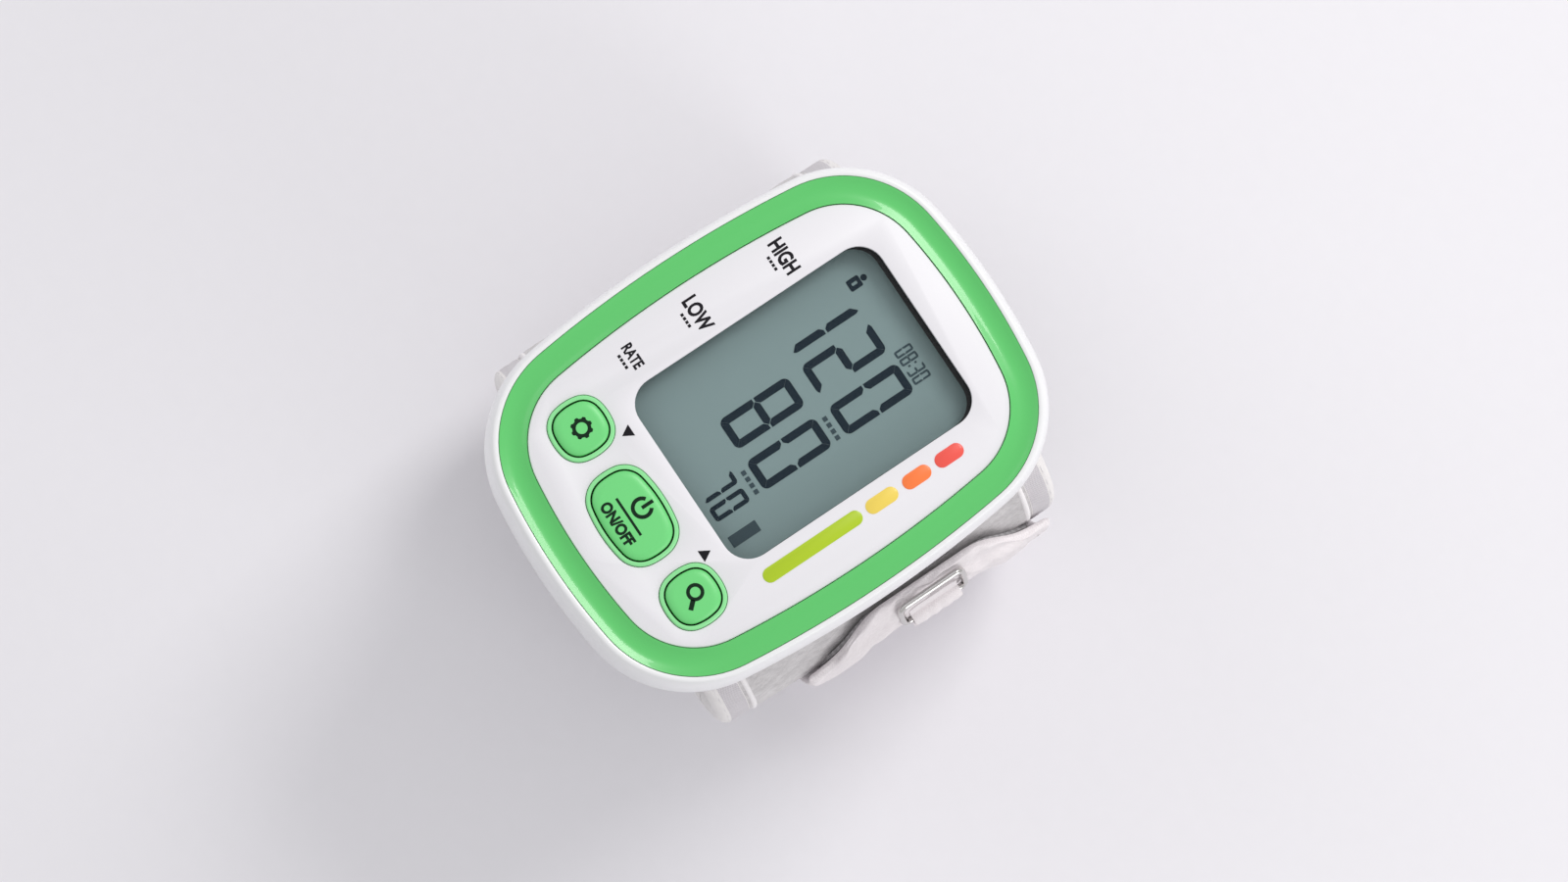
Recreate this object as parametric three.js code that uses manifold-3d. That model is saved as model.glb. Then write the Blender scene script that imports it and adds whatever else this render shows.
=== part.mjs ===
// Wrist blood pressure monitor: display unit on a soft cuff that closes around the wrist.
// Millimetres. X runs across the display, Y from the buttons to the top of the display, Z out of
// the display. The origin lies on the flat underside of the closed cuff, below the display's centre.
import * as THREE from 'three';
import { mergeVertices } from 'three/addons/utils/BufferGeometryUtils.js';
import Module from 'manifold-3d';

const wasm = await Module();
wasm.setup();

// Fits shared by all pieces
const pieceGap = 0.3;
const cutOverrun = 1;
const mergeDistance = 0.00001;

// Wrist opening of the closed cuff, seen along the arm
const wristHalfWidth = 31;
const wristHalfHeight = 21.5;
const wristTopRadius = 62;
const wristSideRadius = 40;
const wristUpperCorner = 15;
const wristUnderRadius = 400;
const wristLowerCorner = 17;

// Cuff layers from the skin outwards, and its width along the arm
const liningThick = 0.9;
const bladderThick = 1.5;
const shellThick = 0.8;
const fabricThick = 1.2;
const cuffHandEnd = 39;
const cuffElbowEnd = -31;
const bindingWidth = 2.2;
const bindingInset = 0.25;
const restFlatDepth = 0.5;
const shellStudRadius = 1.4;
const shellStudX = -3;
const shellStudY = 26;
const spoutRadius = 2.1;
const spoutBoreDepth = 4;
const shellStudReach = 1;

// Free end of the strap, which closes over the outside of the cuff
const hookPadThick = 0.7;
const tongueThick = 1.6;
const tongueHandEnd = 35.5;
const tongueElbowEnd = -14.5;
const tongueTipHandEnd = 19;
const tongueTipElbowEnd = 2;
const tongueCornerRise = 7;
const hookPadInset = 3.5;

// Wire ring on the strap's tip and the fabric loop that holds it
const ringWireRadius = 0.6;
const ringLength = 13.8;
const ringWidth = 7.4;
const ringBend = 1.4;
const loopThick = 0.6;
const loopWidth = 8;
const loopFoot = 2;

// Display unit: the coloured ring's outer edge, and the white rim around it
const ringHalfWidth = 30.9;
const ringHalfHeight = 41.04;
const ringEndRadius = 105.3;
const ringSideRadius = 204.2;
const ringCornerRadius = 17.93;
const ringBand = 4.1;
const ringDish = 0.65;
const ringInnerDrop = 0.15;
const rimSideWidth = 2.2;
const rimEndWidth = 2.9;
const rimLip = 0.55;
const rimDrop = 8.5;

// Housing walls
const unitDepth = 24.6;
const wallThick = 1.8;
const deckThick = 1.5;
const partingLap = 1.2;
const lapThick = 0.8;
const caseFlankDrop = 6;
const caseDraft = 0.6;
const caseFootRadius = 3.2;

// Face panel and display
const panelThick = 0.8;
const panelDrop = 0.4;
const panelBevel = 0.3;
const windowHalfWidth = 16.72;
const windowHalfHeight = 23.46;
const windowCorner = 4.49;
const windowKeyGap = 3.64;
const faceTopShare = 0.6026;
const lensMargin = 1.1;
const lensThick = 0.7;
const tunnelMargin = 1.7;
const lcdFrameThick = 1.2;
const lcdFrameDepth = 1.5;
const lcdGlassThick = 2;
const lcdStep = 2.2;
const connectorThick = 2.2;
const connectorInset = 2.4;

// Buttons, their collars and the switches under them
const smallKeyHalfWidth = 5.05;
const smallKeyHalfHeight = 5.15;
const smallKeyBow = 9;
const smallKeyCorner = 3.9;
const smallKeyX = 16.1;
const smallKeyRise = 0.9;
const startKeyHalfWidth = 8.3;
const startKeyHalfHeight = 5.9;
const startKeyEndRadius = 24;
const startKeySideRadius = 11;
const startKeyCorner = 4.6;
const collarWall = 0.7;
const collarRise = 0.35;
const keyRise = 1;
const keyEdge = 0.7;
const keyTravel = 0.6;
const keyOverTravel = 0.1;
const keyFlange = 0.6;
const keyFlangeThick = 0.7;
const keyStemRadius = 1.5;
const keyStemLength = 0.6;
const webThick = 0.8;
const webMargin = 1;
const switchHalfSide = 3;
const switchHeight = 1.6;
const plungerRadius = 1.6;
const plungerHeight = 0.6;

// Circuit board and what it carries
const boardThick = 1.2;
const boardInset = 2.7;
const sensorHalfSide = 3.5;
const sensorHeight = 7.6;
const sensorBarbDrop = 6.2;
const sensorY = 34;
const buzzerRadius = 4.5;
const buzzerHeight = 2;
const buzzerPort = 0.9;
const buzzerSideRoom = 13.9;
const buzzerY = 26;

// Power cells, their tray, contacts and door
const cellRadius = 5.25;
const cellLength = 43.7;
const cellNubRadius = 1.9;
const cellNubLength = 0.8;
const cellRim = 0.5;
const trayThick = 0.8;
const trayEndThick = 1.2;
const contactThick = 0.4;
const contactHeight = 7;
const contactHalfWidth = 4;
const springWire = 0.35;
const springRoomLength = 2.6;
const springRadius = 2.6;
const springTipRadius = 1.6;
const doorHalfHeight = 6.2;
const doorHalfLength = 24.6;
const doorGripRadius = 9;
const doorGripDepth = 0.7;
const doorGripHalfLength = 7;
const doorRibThick = 0.8;
const doorRibReach = 0.9;

// Air pump
const pumpSideRoom = 1;
const motorRadius = 6;
const motorFlat = 4.9;
const motorLength = 17;
const motorStart = -26;
const motorBushRadius = 2.4;
const motorBushLength = 0.8;
const pumpHeadHalfWidth = 6.4;
const pumpHeadHalfHeight = 5.7;
const pumpHeadLength = 13;
const pumpHeadCorner = 1.6;
const pumpWall = 1.3;
const camRadius = 3.2;
const camThick = 2.4;
const camShaftRadius = 0.8;
const crankRadius = 0.9;
const crankOffset = 1.6;
const crankLength = 2.2;
const camClearance = 0.5;

// Exhaust valve
const valveStart = -18;
const yokeThick = 1;
const yokeLength = 12;
const yokeHalfWidth = 5;
const yokeHalfHeight = 3.8;
const coilRadius = 3.6;
const coilSpoolRadius = 2.6;
const coilFlange = 0.8;
const valvePinRadius = 1;
const valvePinHead = 1.8;
const valvePinHeadThick = 0.8;
const valveTravel = 0.5;

// Air lines
const barbRadius = 1;
const barbLength = 3.2;
const hoseRadius = 2;
const teeRadius = 2.3;
const teeY = 16;

// Case screws
const bossRadius = 2.6;
const screwRadius = 1;
const screwHeadRadius = 1.9;
const screwHeadHeight = 1.3;
const screwRecess = 0.9;
const screwLength = 11;
const screwDriveDepth = 0.6;
const screwDriveHalf = 0.9;
const screwDriveSlot = 0.25;
const bossMeetDrop = 4.2;

// Angles, measured from +X through +Z around the cuff, and shares of arcs
const degree = Math.PI / 180;
const flapEndAngle = -40 * degree;
const wrapFoldAngle = 245 * degree;
const wrapPadEndAngle = 290 * degree;
const strapNarrowAngle = 300 * degree;
const tongueFoldAngle = 322 * degree;
const tongueTipAngle = 394 * degree;
const hookPadStartAngle = 328 * degree;
const hookPadEndAngle = 388 * degree;
const ringSeatAngle = 384 * degree;
const strapLapAngle = 318 * degree;
const bladderSetback = 4 * degree;
const shellFromAngle = -28 * degree;
const shellToAngle = 208 * degree;
const cuffStep = 7.5 * degree;
const screwAngle = 50 * degree;
const keyCrownShares = [[2.4, 0], [1, 0.15], [0.3, 0.45]];
const outlineShares = { side: 2, corner: 6, end: 2 };
const circleSteps = 20;
const frontPlateShare = 0.6;
const trayCradleShare = 0.7;
const trayWallShare = 0.2;
const trayEndShare = 0.8;
const shoulderShare = 0.45;
const tipShare = 0.45;
const collarEdgeShare = 0.35;
const springTurns = 3;
const smallCircleSteps = 10;

// Levels that follow from the sizes above
const cuffThick = liningThick + bladderThick + shellThick + fabricThick + 3 * pieceGap;
const sectionZ = wristHalfHeight + cuffThick - restFlatDepth;
const saddleRadius = wristTopRadius + cuffThick + pieceGap;
const saddleCentreZ = sectionZ + wristHalfHeight - wristTopRadius;
const faceZ = saddleCentreZ + saddleRadius + unitDepth;
const partingZ = faceZ - rimDrop;
const panelTopZ = faceZ - panelDrop;
const panelBottomZ = panelTopZ - panelThick;
const deckTopZ = panelBottomZ - pieceGap;
const deckBottomZ = deckTopZ - deckThick;
const webTopZ = deckBottomZ - pieceGap;
const webBottomZ = webTopZ - webThick;
const keyFlangeTopZ = webBottomZ - pieceGap;
const keyFlangeBottomZ = keyFlangeTopZ - keyFlangeThick;
const keyStemZ = keyFlangeBottomZ - keyStemLength;
const plungerTopZ = keyStemZ - keyTravel - keyOverTravel;
const boardTopZ = plungerTopZ - plungerHeight - switchHeight - pieceGap;
const boardBottomZ = boardTopZ - boardThick;
const lensTopZ = panelBottomZ - pieceGap;
const lensBottomZ = lensTopZ - lensThick;
const lcdFrameTopZ = lensBottomZ - pieceGap;
const lcdTopZ = lcdFrameTopZ - lcdFrameDepth - pieceGap;
const lcdBottomZ = lcdTopZ - lcdGlassThick;
const caseFootZ = saddleCentreZ + saddleRadius - caseFlankDrop;
const bossMeetZ = boardBottomZ - bossMeetDrop;

const finish = (color, roughness, metalness = 0) =>
  new THREE.MeshStandardMaterial({ color, roughness, metalness });
const whitePlastic = finish(0xececee, 0.35);
const panelFilm = finish(0xe8e6ea, 0.4);
const greenPlastic = finish(0x63c66f, 0.3);
const keyPlastic = finish(0x77d484, 0.4);
const clearPlastic = finish(0xd8dee0, 0.05);
const blackPlastic = finish(0x17191c, 0.6);
const lcdGlassFinish = finish(0x7e9093, 0.25);
const darkRubber = finish(0x2c2f33, 0.8);
const boardGreen = finish(0x1f6a3c, 0.5);
const componentBlack = finish(0x22242a, 0.5);
const brass = finish(0xc9a85a, 0.35, 1);
const steel = finish(0xc7c9cc, 0.3, 1);
const cellWrap = finish(0x4a5560, 0.35);
const greyPlastic = finish(0x9aa0a4, 0.5);
const copper = finish(0xb56a3a, 0.4, 1);
const siliconeClear = finish(0xdfe3e2, 0.5);
const cuffGrey = finish(0xcfcdce, 0.95);
const cuffLiningGrey = finish(0xbdbcbe, 0.95);
const bindingWhite = finish(0xece8e7, 0.9);
const hookGrey = finish(0xb4b2b4, 1);
const bladderRubber = finish(0x8b8f94, 0.7);
const naturalPlastic = finish(0xdcdcd6, 0.5);

const monitor = new THREE.Group();

function add(name, piece, material) {
  const mesh = new THREE.Mesh(piece.isBufferGeometry ? piece : geometryOf(piece), material);
  mesh.name = name;
  monitor.add(mesh);
  return mesh;
}

// Joins and cuts
function solid(geometry) {
  const bare = geometry.clone();
  bare.deleteAttribute('normal');
  bare.deleteAttribute('uv');
  const merged = mergeVertices(bare, mergeDistance);
  const vertProperties = new Float32Array(merged.attributes.position.array);
  const triVerts = new Uint32Array(merged.index.array);
  return new wasm.Manifold(new wasm.Mesh({ numProp: 3, vertProperties, triVerts }));
}

function geometryOf(manifold) {
  const { vertProperties, triVerts } = manifold.getMesh();
  const geometry = new THREE.BufferGeometry();
  geometry.setAttribute('position', new THREE.Float32BufferAttribute(vertProperties, 3));
  geometry.setIndex(new THREE.Uint32BufferAttribute(triVerts, 1));
  geometry.computeVertexNormals();
  return geometry;
}

const joined = (first, ...others) => others.reduce((sum, other) => sum.add(other), first);
const cut = (first, ...tools) => tools.reduce((rest, tool) => rest.subtract(tool), first);

// Plain solids
function block(xFrom, xTo, yFrom, yTo, zFrom, zTo) {
  const geometry = new THREE.BoxGeometry(xTo - xFrom, yTo - yFrom, zTo - zFrom);
  geometry.translate((xFrom + xTo) / 2, (yFrom + yTo) / 2, (zFrom + zTo) / 2);
  return solid(geometry);
}

function rodZ(x, y, radius, zFrom, zTo, steps = smallCircleSteps) {
  const geometry = new THREE.CylinderGeometry(radius, radius, zTo - zFrom, steps);
  geometry.rotateX(Math.PI / 2);
  geometry.translate(x, y, (zFrom + zTo) / 2);
  return solid(geometry);
}

function rodY(x, z, radius, yFrom, yTo, steps = smallCircleSteps) {
  const geometry = new THREE.CylinderGeometry(radius, radius, yTo - yFrom, steps);
  geometry.translate(x, (yFrom + yTo) / 2, z);
  return solid(geometry);
}

function rodX(y, z, radius, xFrom, xTo, steps = smallCircleSteps) {
  const geometry = new THREE.CylinderGeometry(radius, radius, xTo - xFrom, steps);
  geometry.rotateZ(Math.PI / 2);
  geometry.translate((xFrom + xTo) / 2, y, z);
  return solid(geometry);
}

// A solid of revolution about a line along Y; the profile is [distance along Y, radius].
function turnedY(x, z, profile, steps = circleSteps) {
  const geometry = new THREE.LatheGeometry(profile.map(([y, r]) => new THREE.Vector2(r, y)), steps);
  geometry.translate(x, 0, z);
  return solid(geometry);
}

function extrudedZ(shape, zFrom, zTo, curveSegments = 3) {
  const options = { depth: zTo - zFrom, bevelEnabled: false, curveSegments };
  const geometry = new THREE.ExtrudeGeometry(shape, options);
  geometry.translate(0, 0, zFrom);
  return solid(geometry);
}

// The shape's x and y become X and Z, and it is drawn out along Y.
function extrudedY(shape, yFrom, yTo, curveSegments = 6) {
  const options = { depth: yTo - yFrom, bevelEnabled: false, curveSegments };
  const geometry = new THREE.ExtrudeGeometry(shape, options);
  geometry.rotateX(Math.PI / 2);
  geometry.translate(0, yTo, 0);
  return solid(geometry);
}

function roundedRectangle(x, y, halfWidth, halfHeight, corner) {
  const shape = new THREE.Shape();
  shape.absarc(x + halfWidth - corner, y - halfHeight + corner, corner, -Math.PI / 2, 0);
  shape.absarc(x + halfWidth - corner, y + halfHeight - corner, corner, 0, Math.PI / 2);
  shape.absarc(x - halfWidth + corner, y + halfHeight - corner, corner, Math.PI / 2, Math.PI);
  shape.absarc(x - halfWidth + corner, y - halfHeight + corner, corner, Math.PI, Math.PI * 1.5);
  shape.closePath();
  return shape;
}

// A bowed outline has four like quarters. Each is a side arc, a corner arc and an end arc that meet
// without a kink, so an outline further out or in keeps the centres and only changes the radii.
function bowedArcs(halfWidth, halfHeight, endRadius, sideRadius, cornerRadius) {
  const end = new THREE.Vector2(0, halfHeight - endRadius);
  const side = new THREE.Vector2(halfWidth - sideRadius, 0);
  const endReach = endRadius - cornerRadius;
  const sideReach = sideRadius - cornerRadius;
  const span = side.distanceTo(end);
  const along = (endReach ** 2 - sideReach ** 2 + span ** 2) / (2 * span);
  const across = Math.sqrt(endReach ** 2 - along ** 2);
  const toSide = side.clone().sub(end).divideScalar(span);
  const corner = end.clone().addScaledVector(toSide, along);
  corner.addScaledVector(new THREE.Vector2(toSide.y, -toSide.x), across);
  return {
    side: { centre: side, radius: sideRadius },
    corner: { centre: corner, radius: cornerRadius },
    end: { centre: end, radius: endRadius },
    cornerFrom: corner.clone().sub(side).angle(),
    cornerTo: corner.clone().sub(end).angle(),
  };
}

// The point of a quarter where the outline faces the given angle
function quarterPoint(arcs, angle, offset) {
  let arc = arcs.corner;
  if (angle < arcs.cornerFrom) arc = arcs.side;
  if (angle > arcs.cornerTo) arc = arcs.end;
  const reach = arc.radius + offset;
  return arc.centre.clone().add(new THREE.Vector2(Math.cos(angle), Math.sin(angle)).multiplyScalar(reach));
}

function quarterAngles(arcs, counts = outlineShares) {
  const angles = [];
  const spread = (from, to, count) => {
    for (let i = 0; i < count; i += 1) angles.push(from + ((to - from) * i) / count);
  };
  spread(0, arcs.cornerFrom, counts.side);
  spread(arcs.cornerFrom, arcs.cornerTo, counts.corner);
  spread(arcs.cornerTo, Math.PI / 2, counts.end);
  angles.push(Math.PI / 2);
  return angles;
}

function outline(arcs, offset, counts = outlineShares) {
  const quarter = quarterAngles(arcs, counts).map((angle) => quarterPoint(arcs, angle, offset));
  const mirrored = (signX, signY) => quarter.map(({ x, y }) => new THREE.Vector2(x * signX, y * signY));
  return [
    ...mirrored(1, 1).slice(0, -1),
    ...mirrored(-1, 1).reverse().slice(0, -1),
    ...mirrored(-1, -1).slice(0, -1),
    ...mirrored(1, -1).reverse().slice(0, -1),
  ];
}

// A solid whose cross-sections are rings of equally many points, listed from the top down.
function stacked(rings, x = 0, y = 0) {
  const count = rings[0].points.length;
  const positions = [];
  rings.forEach((ring) => ring.points.forEach((p) => positions.push(p.x + x, p.y + y, ring.z)));
  const last = rings.length - 1;
  positions.push(x, y, rings[0].z, x, y, rings[last].z);
  const topCentre = rings.length * count;
  const index = [];
  for (let i = 0; i < count; i += 1) {
    const j = (i + 1) % count;
    index.push(topCentre, i, j);
    index.push(topCentre + 1, last * count + j, last * count + i);
    for (let k = 0; k < last; k += 1) {
      const upper = k * count;
      const lower = upper + count;
      index.push(upper + i, lower + i, lower + j, upper + i, lower + j, upper + j);
    }
  }
  const geometry = new THREE.BufferGeometry();
  geometry.setAttribute('position', new THREE.Float32BufferAttribute(positions, 3));
  geometry.setIndex(index);
  return solid(geometry);
}

// The same outline at several [offset, level] pairs
const stackedOutline = (arcs, profile, x = 0, y = 0, counts = outlineShares) =>
  stacked(profile.map(([offset, z]) => ({ points: outline(arcs, offset, counts), z })), x, y);

// Cuff cross-section: bowed above, almost flat below
const wristArcs = (flatRadius, cornerRadius) =>
  bowedArcs(wristHalfWidth, wristHalfHeight, flatRadius, wristSideRadius, cornerRadius);
const cuffUpper = wristArcs(wristTopRadius, wristUpperCorner);
const cuffLower = wristArcs(wristUnderRadius, wristLowerCorner);

function cuffPoint(angle, offset) {
  const sine = Math.sin(angle);
  const cosine = Math.cos(angle);
  const arcs = sine >= 0 ? cuffUpper : cuffLower;
  const point = quarterPoint(arcs, Math.atan2(Math.abs(sine), Math.abs(cosine)), offset);
  return new THREE.Vector2(point.x * Math.sign(cosine), sectionZ + point.y * Math.sign(sine || 1));
}

// A layer of the cuff between two angles; the offsets may be functions of the angle.
function layer(from, to, inner, outer, yFrom, yTo) {
  const count = Math.max(1, Math.round((to - from) / cuffStep));
  const at = (offset, angle) => (typeof offset === 'function' ? offset(angle) : offset);
  const outside = [];
  const inside = [];
  for (let i = 0; i <= count; i += 1) {
    const angle = from + ((to - from) * i) / count;
    const point = cuffPoint(angle, at(outer, angle));
    point.y = Math.max(point.y, 0);
    outside.push(point);
    inside.unshift(cuffPoint(angle, at(inner, angle)));
  }
  return extrudedY(new THREE.Shape([...outside, ...inside]), yFrom, yTo);
}

// Everything within an offset from the skin, drawn out along the arm
function cuffCore(offset, yFrom, yTo) {
  const points = [];
  for (let angle = 0; angle < Math.PI * 2; angle += cuffStep) {
    points.push(cuffPoint(angle, offset));
  }
  return extrudedY(new THREE.Shape(points), yFrom, yTo);
}

// The space that the closed cuff takes, grown by a margin and long enough to cut the whole unit
function cuffEnvelope(margin) {
  const reach = ringHalfHeight + rimEndWidth + cutOverrun;
  return cuffCore(cuffThick + margin, -reach, reach);
}

// Height at which a round piece lying along Y rests on the unit's bowed floor
function seatHeight(x, radius) {
  return saddleCentreZ + Math.sqrt((saddleRadius + wallThick + pieceGap + radius) ** 2 - x ** 2);
}

// Lowest level that a flat piece can have above the bowed floor at a given distance from its crest
const floorClear = (x) => seatHeight(x, 0);

// How far the housing's long side stands out at a given place along the arm
function sideReach(y) {
  const { side, corner, cornerFrom } = caseArcs;
  const arc = y < side.radius * Math.sin(cornerFrom) ? side : corner;
  return arc.centre.x + Math.sqrt(arc.radius ** 2 - (y - arc.centre.y) ** 2);
}

const ringArcs = bowedArcs(ringHalfWidth, ringHalfHeight, ringEndRadius, ringSideRadius, ringCornerRadius);
const caseArcs = bowedArcs(
  ringHalfWidth + rimSideWidth,
  ringHalfHeight + rimEndWidth,
  ringEndRadius + rimEndWidth,
  ringSideRadius + rimSideWidth,
  ringCornerRadius + rimSideWidth,
);

// The window stands above the keys, and what is left of the panel's height is shared out above and below
const panelReach = ringHalfHeight - ringBand - pieceGap;
const keyedHeight = 2 * windowHalfHeight + windowKeyGap + 2 * startKeyHalfHeight;
const faceTopMargin = (2 * panelReach - keyedHeight) * faceTopShare;
const windowCentreY = panelReach - faceTopMargin - windowHalfHeight;
const startKeyY = windowCentreY - windowHalfHeight - windowKeyGap - startKeyHalfHeight;
const smallKeyY = startKeyY + smallKeyRise;
const smallKeyArcs = bowedArcs(
  smallKeyHalfWidth,
  smallKeyHalfHeight,
  smallKeyBow,
  smallKeyBow,
  smallKeyCorner,
);
const startKeyArcs = bowedArcs(
  startKeyHalfWidth,
  startKeyHalfHeight,
  startKeyEndRadius,
  startKeySideRadius,
  startKeyCorner,
);
const keyCounts = { side: 2, corner: 3, end: 2 };
const keys = [
  { name: 'settings', arcs: smallKeyArcs, x: -smallKeyX, y: smallKeyY },
  { name: 'start', arcs: startKeyArcs, x: 0, y: startKeyY },
  { name: 'memory', arcs: smallKeyArcs, x: smallKeyX, y: smallKeyY },
];

const bossInset = wallThick + bossRadius + pieceGap;
const bossSpot = quarterPoint(caseArcs, screwAngle, -bossInset);
const cornerSigns = [[1, 1], [-1, 1], [-1, -1], [1, -1]];
const bossSpots = cornerSigns.map(([signX, signY]) => ({ x: bossSpot.x * signX, y: bossSpot.y * signY }));

const motorEnd = motorStart + motorLength;
const innerFlankX = sideReach(motorStart) - caseDraft - wallThick;
const pumpX = innerFlankX - pieceGap - pumpSideRoom - pumpHeadHalfWidth;
const pumpZ = Math.max(
  seatHeight(pumpX, motorRadius),
  floorClear(pumpX - pumpHeadHalfWidth + pumpHeadCorner / 2) + pumpHeadHalfHeight,
);
const headStart = motorEnd + pieceGap;
const headEnd = headStart + pumpHeadLength;
const headCavityFrom = headStart + pumpWall;
const headCavityTo = headCavityFrom + 2 * camClearance + camThick + crankLength;
const valveZ = floorClear(0) + yokeHalfHeight;
const buzzerX = ringHalfWidth - buzzerSideRoom;
const valveEnd = valveStart + yokeLength;
const coilEnd = valveEnd - yokeThick - pieceGap - valvePinHeadThick - valveTravel - pieceGap;
const sensorBarbZ = boardBottomZ - pieceGap - sensorBarbDrop;
const cellPitch = 2 * cellRadius + pieceGap;
const cellRoom = cellLength + cellNubLength + springRoomLength + 2 * (contactThick + pieceGap);
const cellOuterX = cellRadius + pieceGap + wallThick + caseDraft - sideReach(cellRoom / 2 + pieceGap);
const cellInnerX = cellOuterX + cellPitch;
const cellZ = seatHeight(cellInnerX, cellRadius + trayThick + pieceGap);
const trayHalfLength = cellRoom / 2 + trayEndThick + pieceGap;
const traySideX = cellInnerX + cellRadius + pieceGap + trayThick;
const valveX = (traySideX + pumpX - pumpHeadHalfWidth) / 2;
const screwMouthZ = saddleCentreZ + Math.sqrt(saddleRadius ** 2 - bossSpot.x ** 2);
const screwSeatZ = screwMouthZ + screwRecess + screwHeadHeight;
const studSpots = [-1, 1].map((side) => ({ x: shellStudX, y: side * shellStudY }));

// Offsets of the cuff's layers from the skin
const bladderFrom = liningThick + pieceGap;
const bladderTo = bladderFrom + bladderThick;
const shellFrom = bladderTo + pieceGap;
const shellTo = shellFrom + shellThick;
const fabricFrom = shellTo + pieceGap;
const hookFrom = cuffThick + pieceGap;
const hookTo = hookFrom + hookPadThick;
const tongueInner = hookTo + pieceGap;
const tongueOuter = tongueInner + tongueThick;
const strapThick = hookPadThick + pieceGap + tongueThick;
const foldGapAngle = pieceGap / wristLowerCorner;
const bladderSpoutRootZ = saddleCentreZ + wristTopRadius + bladderFrom;
const studTopZ = saddleCentreZ + saddleRadius + wallThick + shellStudReach;
const cuffEdges = [
  { name: 'hand', from: cuffHandEnd - bindingWidth, to: cuffHandEnd },
  { name: 'elbow', from: cuffElbowEnd, to: cuffElbowEnd + bindingWidth },
];

function keyShaft(key, margin, zFrom, zTo) {
  return stackedOutline(key.arcs, [[margin, zTo], [margin, zFrom]], key.x, key.y, keyCounts);
}

// Front half of the housing: rounded white rim, recess for ring and panel, window and key holes
function frontCover() {
  const rimSteps = 5;
  const rings = [
    { points: outline(ringArcs, pieceGap), z: deckTopZ },
    { points: outline(ringArcs, pieceGap), z: faceZ - ringInnerDrop },
  ];
  const lipOffset = pieceGap + rimLip;
  const crest = outline(ringArcs, lipOffset);
  const widest = outline(caseArcs, 0);
  for (let i = 0; i <= rimSteps; i += 1) {
    const turn = (i / rimSteps) * (Math.PI / 2);
    const points = crest.map((point, k) => point.clone().lerp(widest[k], Math.sin(turn)));
    rings.push({ points, z: faceZ - rimDrop * (1 - Math.cos(turn)) });
  }
  const lapEdge = outline(caseArcs, -(wallThick - lapThick) + pieceGap / 2);
  const lapZ = partingZ + partingLap + pieceGap;
  const inside = outline(caseArcs, -wallThick);
  rings.push({ points: lapEdge, z: partingZ });
  rings.push({ points: lapEdge, z: lapZ });
  rings.push({ points: inside, z: lapZ });
  rings.push({ points: inside, z: deckBottomZ });
  let cover = stacked(rings);
  const windowTool = roundedRectangle(
    0,
    windowCentreY,
    windowHalfWidth + tunnelMargin,
    windowHalfHeight + tunnelMargin,
    windowCorner + tunnelMargin,
  );
  cover = cut(cover, extrudedZ(windowTool, deckBottomZ - cutOverrun, deckTopZ + cutOverrun));
  keys.forEach((key) => {
    cover = cut(cover, keyShaft(key, pieceGap, deckBottomZ - cutOverrun, deckTopZ + cutOverrun));
  });
  bossSpots.forEach(({ x, y }) => {
    cover = joined(cover, rodZ(x, y, bossRadius, bossMeetZ + pieceGap, deckTopZ - deckThick / 2));
    cover = cut(cover, rodZ(x, y, screwRadius + pieceGap, bossMeetZ - cutOverrun, deckBottomZ));
  });
  return cover;
}

const rearHeights = { top: partingZ - pieceGap, lap: partingZ + partingLap, foot: caseFootZ };

// Outer form of the rear half and, with an inset, of its hollow
function rearForm(inset, topZ, footZ) {
  const footSteps = 3;
  const profile = [[-inset, topZ]];
  for (let i = 0; i <= footSteps; i += 1) {
    const turn = (i / footSteps) * (Math.PI / 2);
    const offset = -caseDraft - caseFootRadius * (1 - Math.cos(turn));
    profile.push([offset - inset, footZ + caseFootRadius * (1 - Math.sin(turn))]);
  }
  return stackedOutline(caseArcs, profile);
}

const doorCutter = (margin) => block(
  -(ringHalfWidth + rimSideWidth + cutOverrun),
  -(ringHalfWidth + rimSideWidth - wallThick - cutOverrun),
  -doorHalfLength - margin,
  doorHalfLength + margin,
  cellZ - doorHalfHeight - margin,
  cellZ + doorHalfHeight + margin,
);

// Rear half of the housing: bowed underside that sits on the cuff, screw posts, battery doorway
function rearCover() {
  const lapOffset = -(wallThick - lapThick) - pieceGap / 2;
  const lapProfile = [[lapOffset, rearHeights.lap], [lapOffset, rearHeights.top - lapThick]];
  const lap = stackedOutline(caseArcs, lapProfile);
  const hollow = cut(
    rearForm(wallThick, rearHeights.lap + cutOverrun, rearHeights.foot - cutOverrun),
    cuffEnvelope(pieceGap + wallThick),
  );
  const lowest = block(
    -ringHalfWidth - rimSideWidth,
    ringHalfWidth + rimSideWidth,
    -ringHalfHeight - rimEndWidth,
    ringHalfHeight + rimEndWidth,
    0,
    rearHeights.foot + wallThick,
  );
  let cover = joined(rearForm(0, rearHeights.top, rearHeights.foot), lap);
  cover = cut(cover, cut(hollow, lowest));
  bossSpots.forEach(({ x, y }) => {
    cover = joined(cover, rodZ(x, y, bossRadius, rearHeights.foot + wallThick / 2, bossMeetZ));
  });
  cover = cut(cover, cuffEnvelope(pieceGap));
  bossSpots.forEach(({ x, y }) => {
    cover = cut(
      cover,
      rodZ(x, y, screwRadius + pieceGap, rearHeights.foot - cutOverrun, bossMeetZ + cutOverrun),
      rodZ(x, y, screwHeadRadius + pieceGap, 0, screwSeatZ + pieceGap),
    );
  });
  [...studSpots.map(({ x, y }) => rodZ(x, y, shellStudRadius + pieceGap, 0, faceZ)),
    rodZ(valveX, teeY, spoutRadius + pieceGap, 0, faceZ)].forEach((hole) => {
    cover = cut(cover, hole.intersect(cuffEnvelope(pieceGap + wallThick + cutOverrun)));
  });
  return cut(cover, doorCutter(pieceGap));
}

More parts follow.
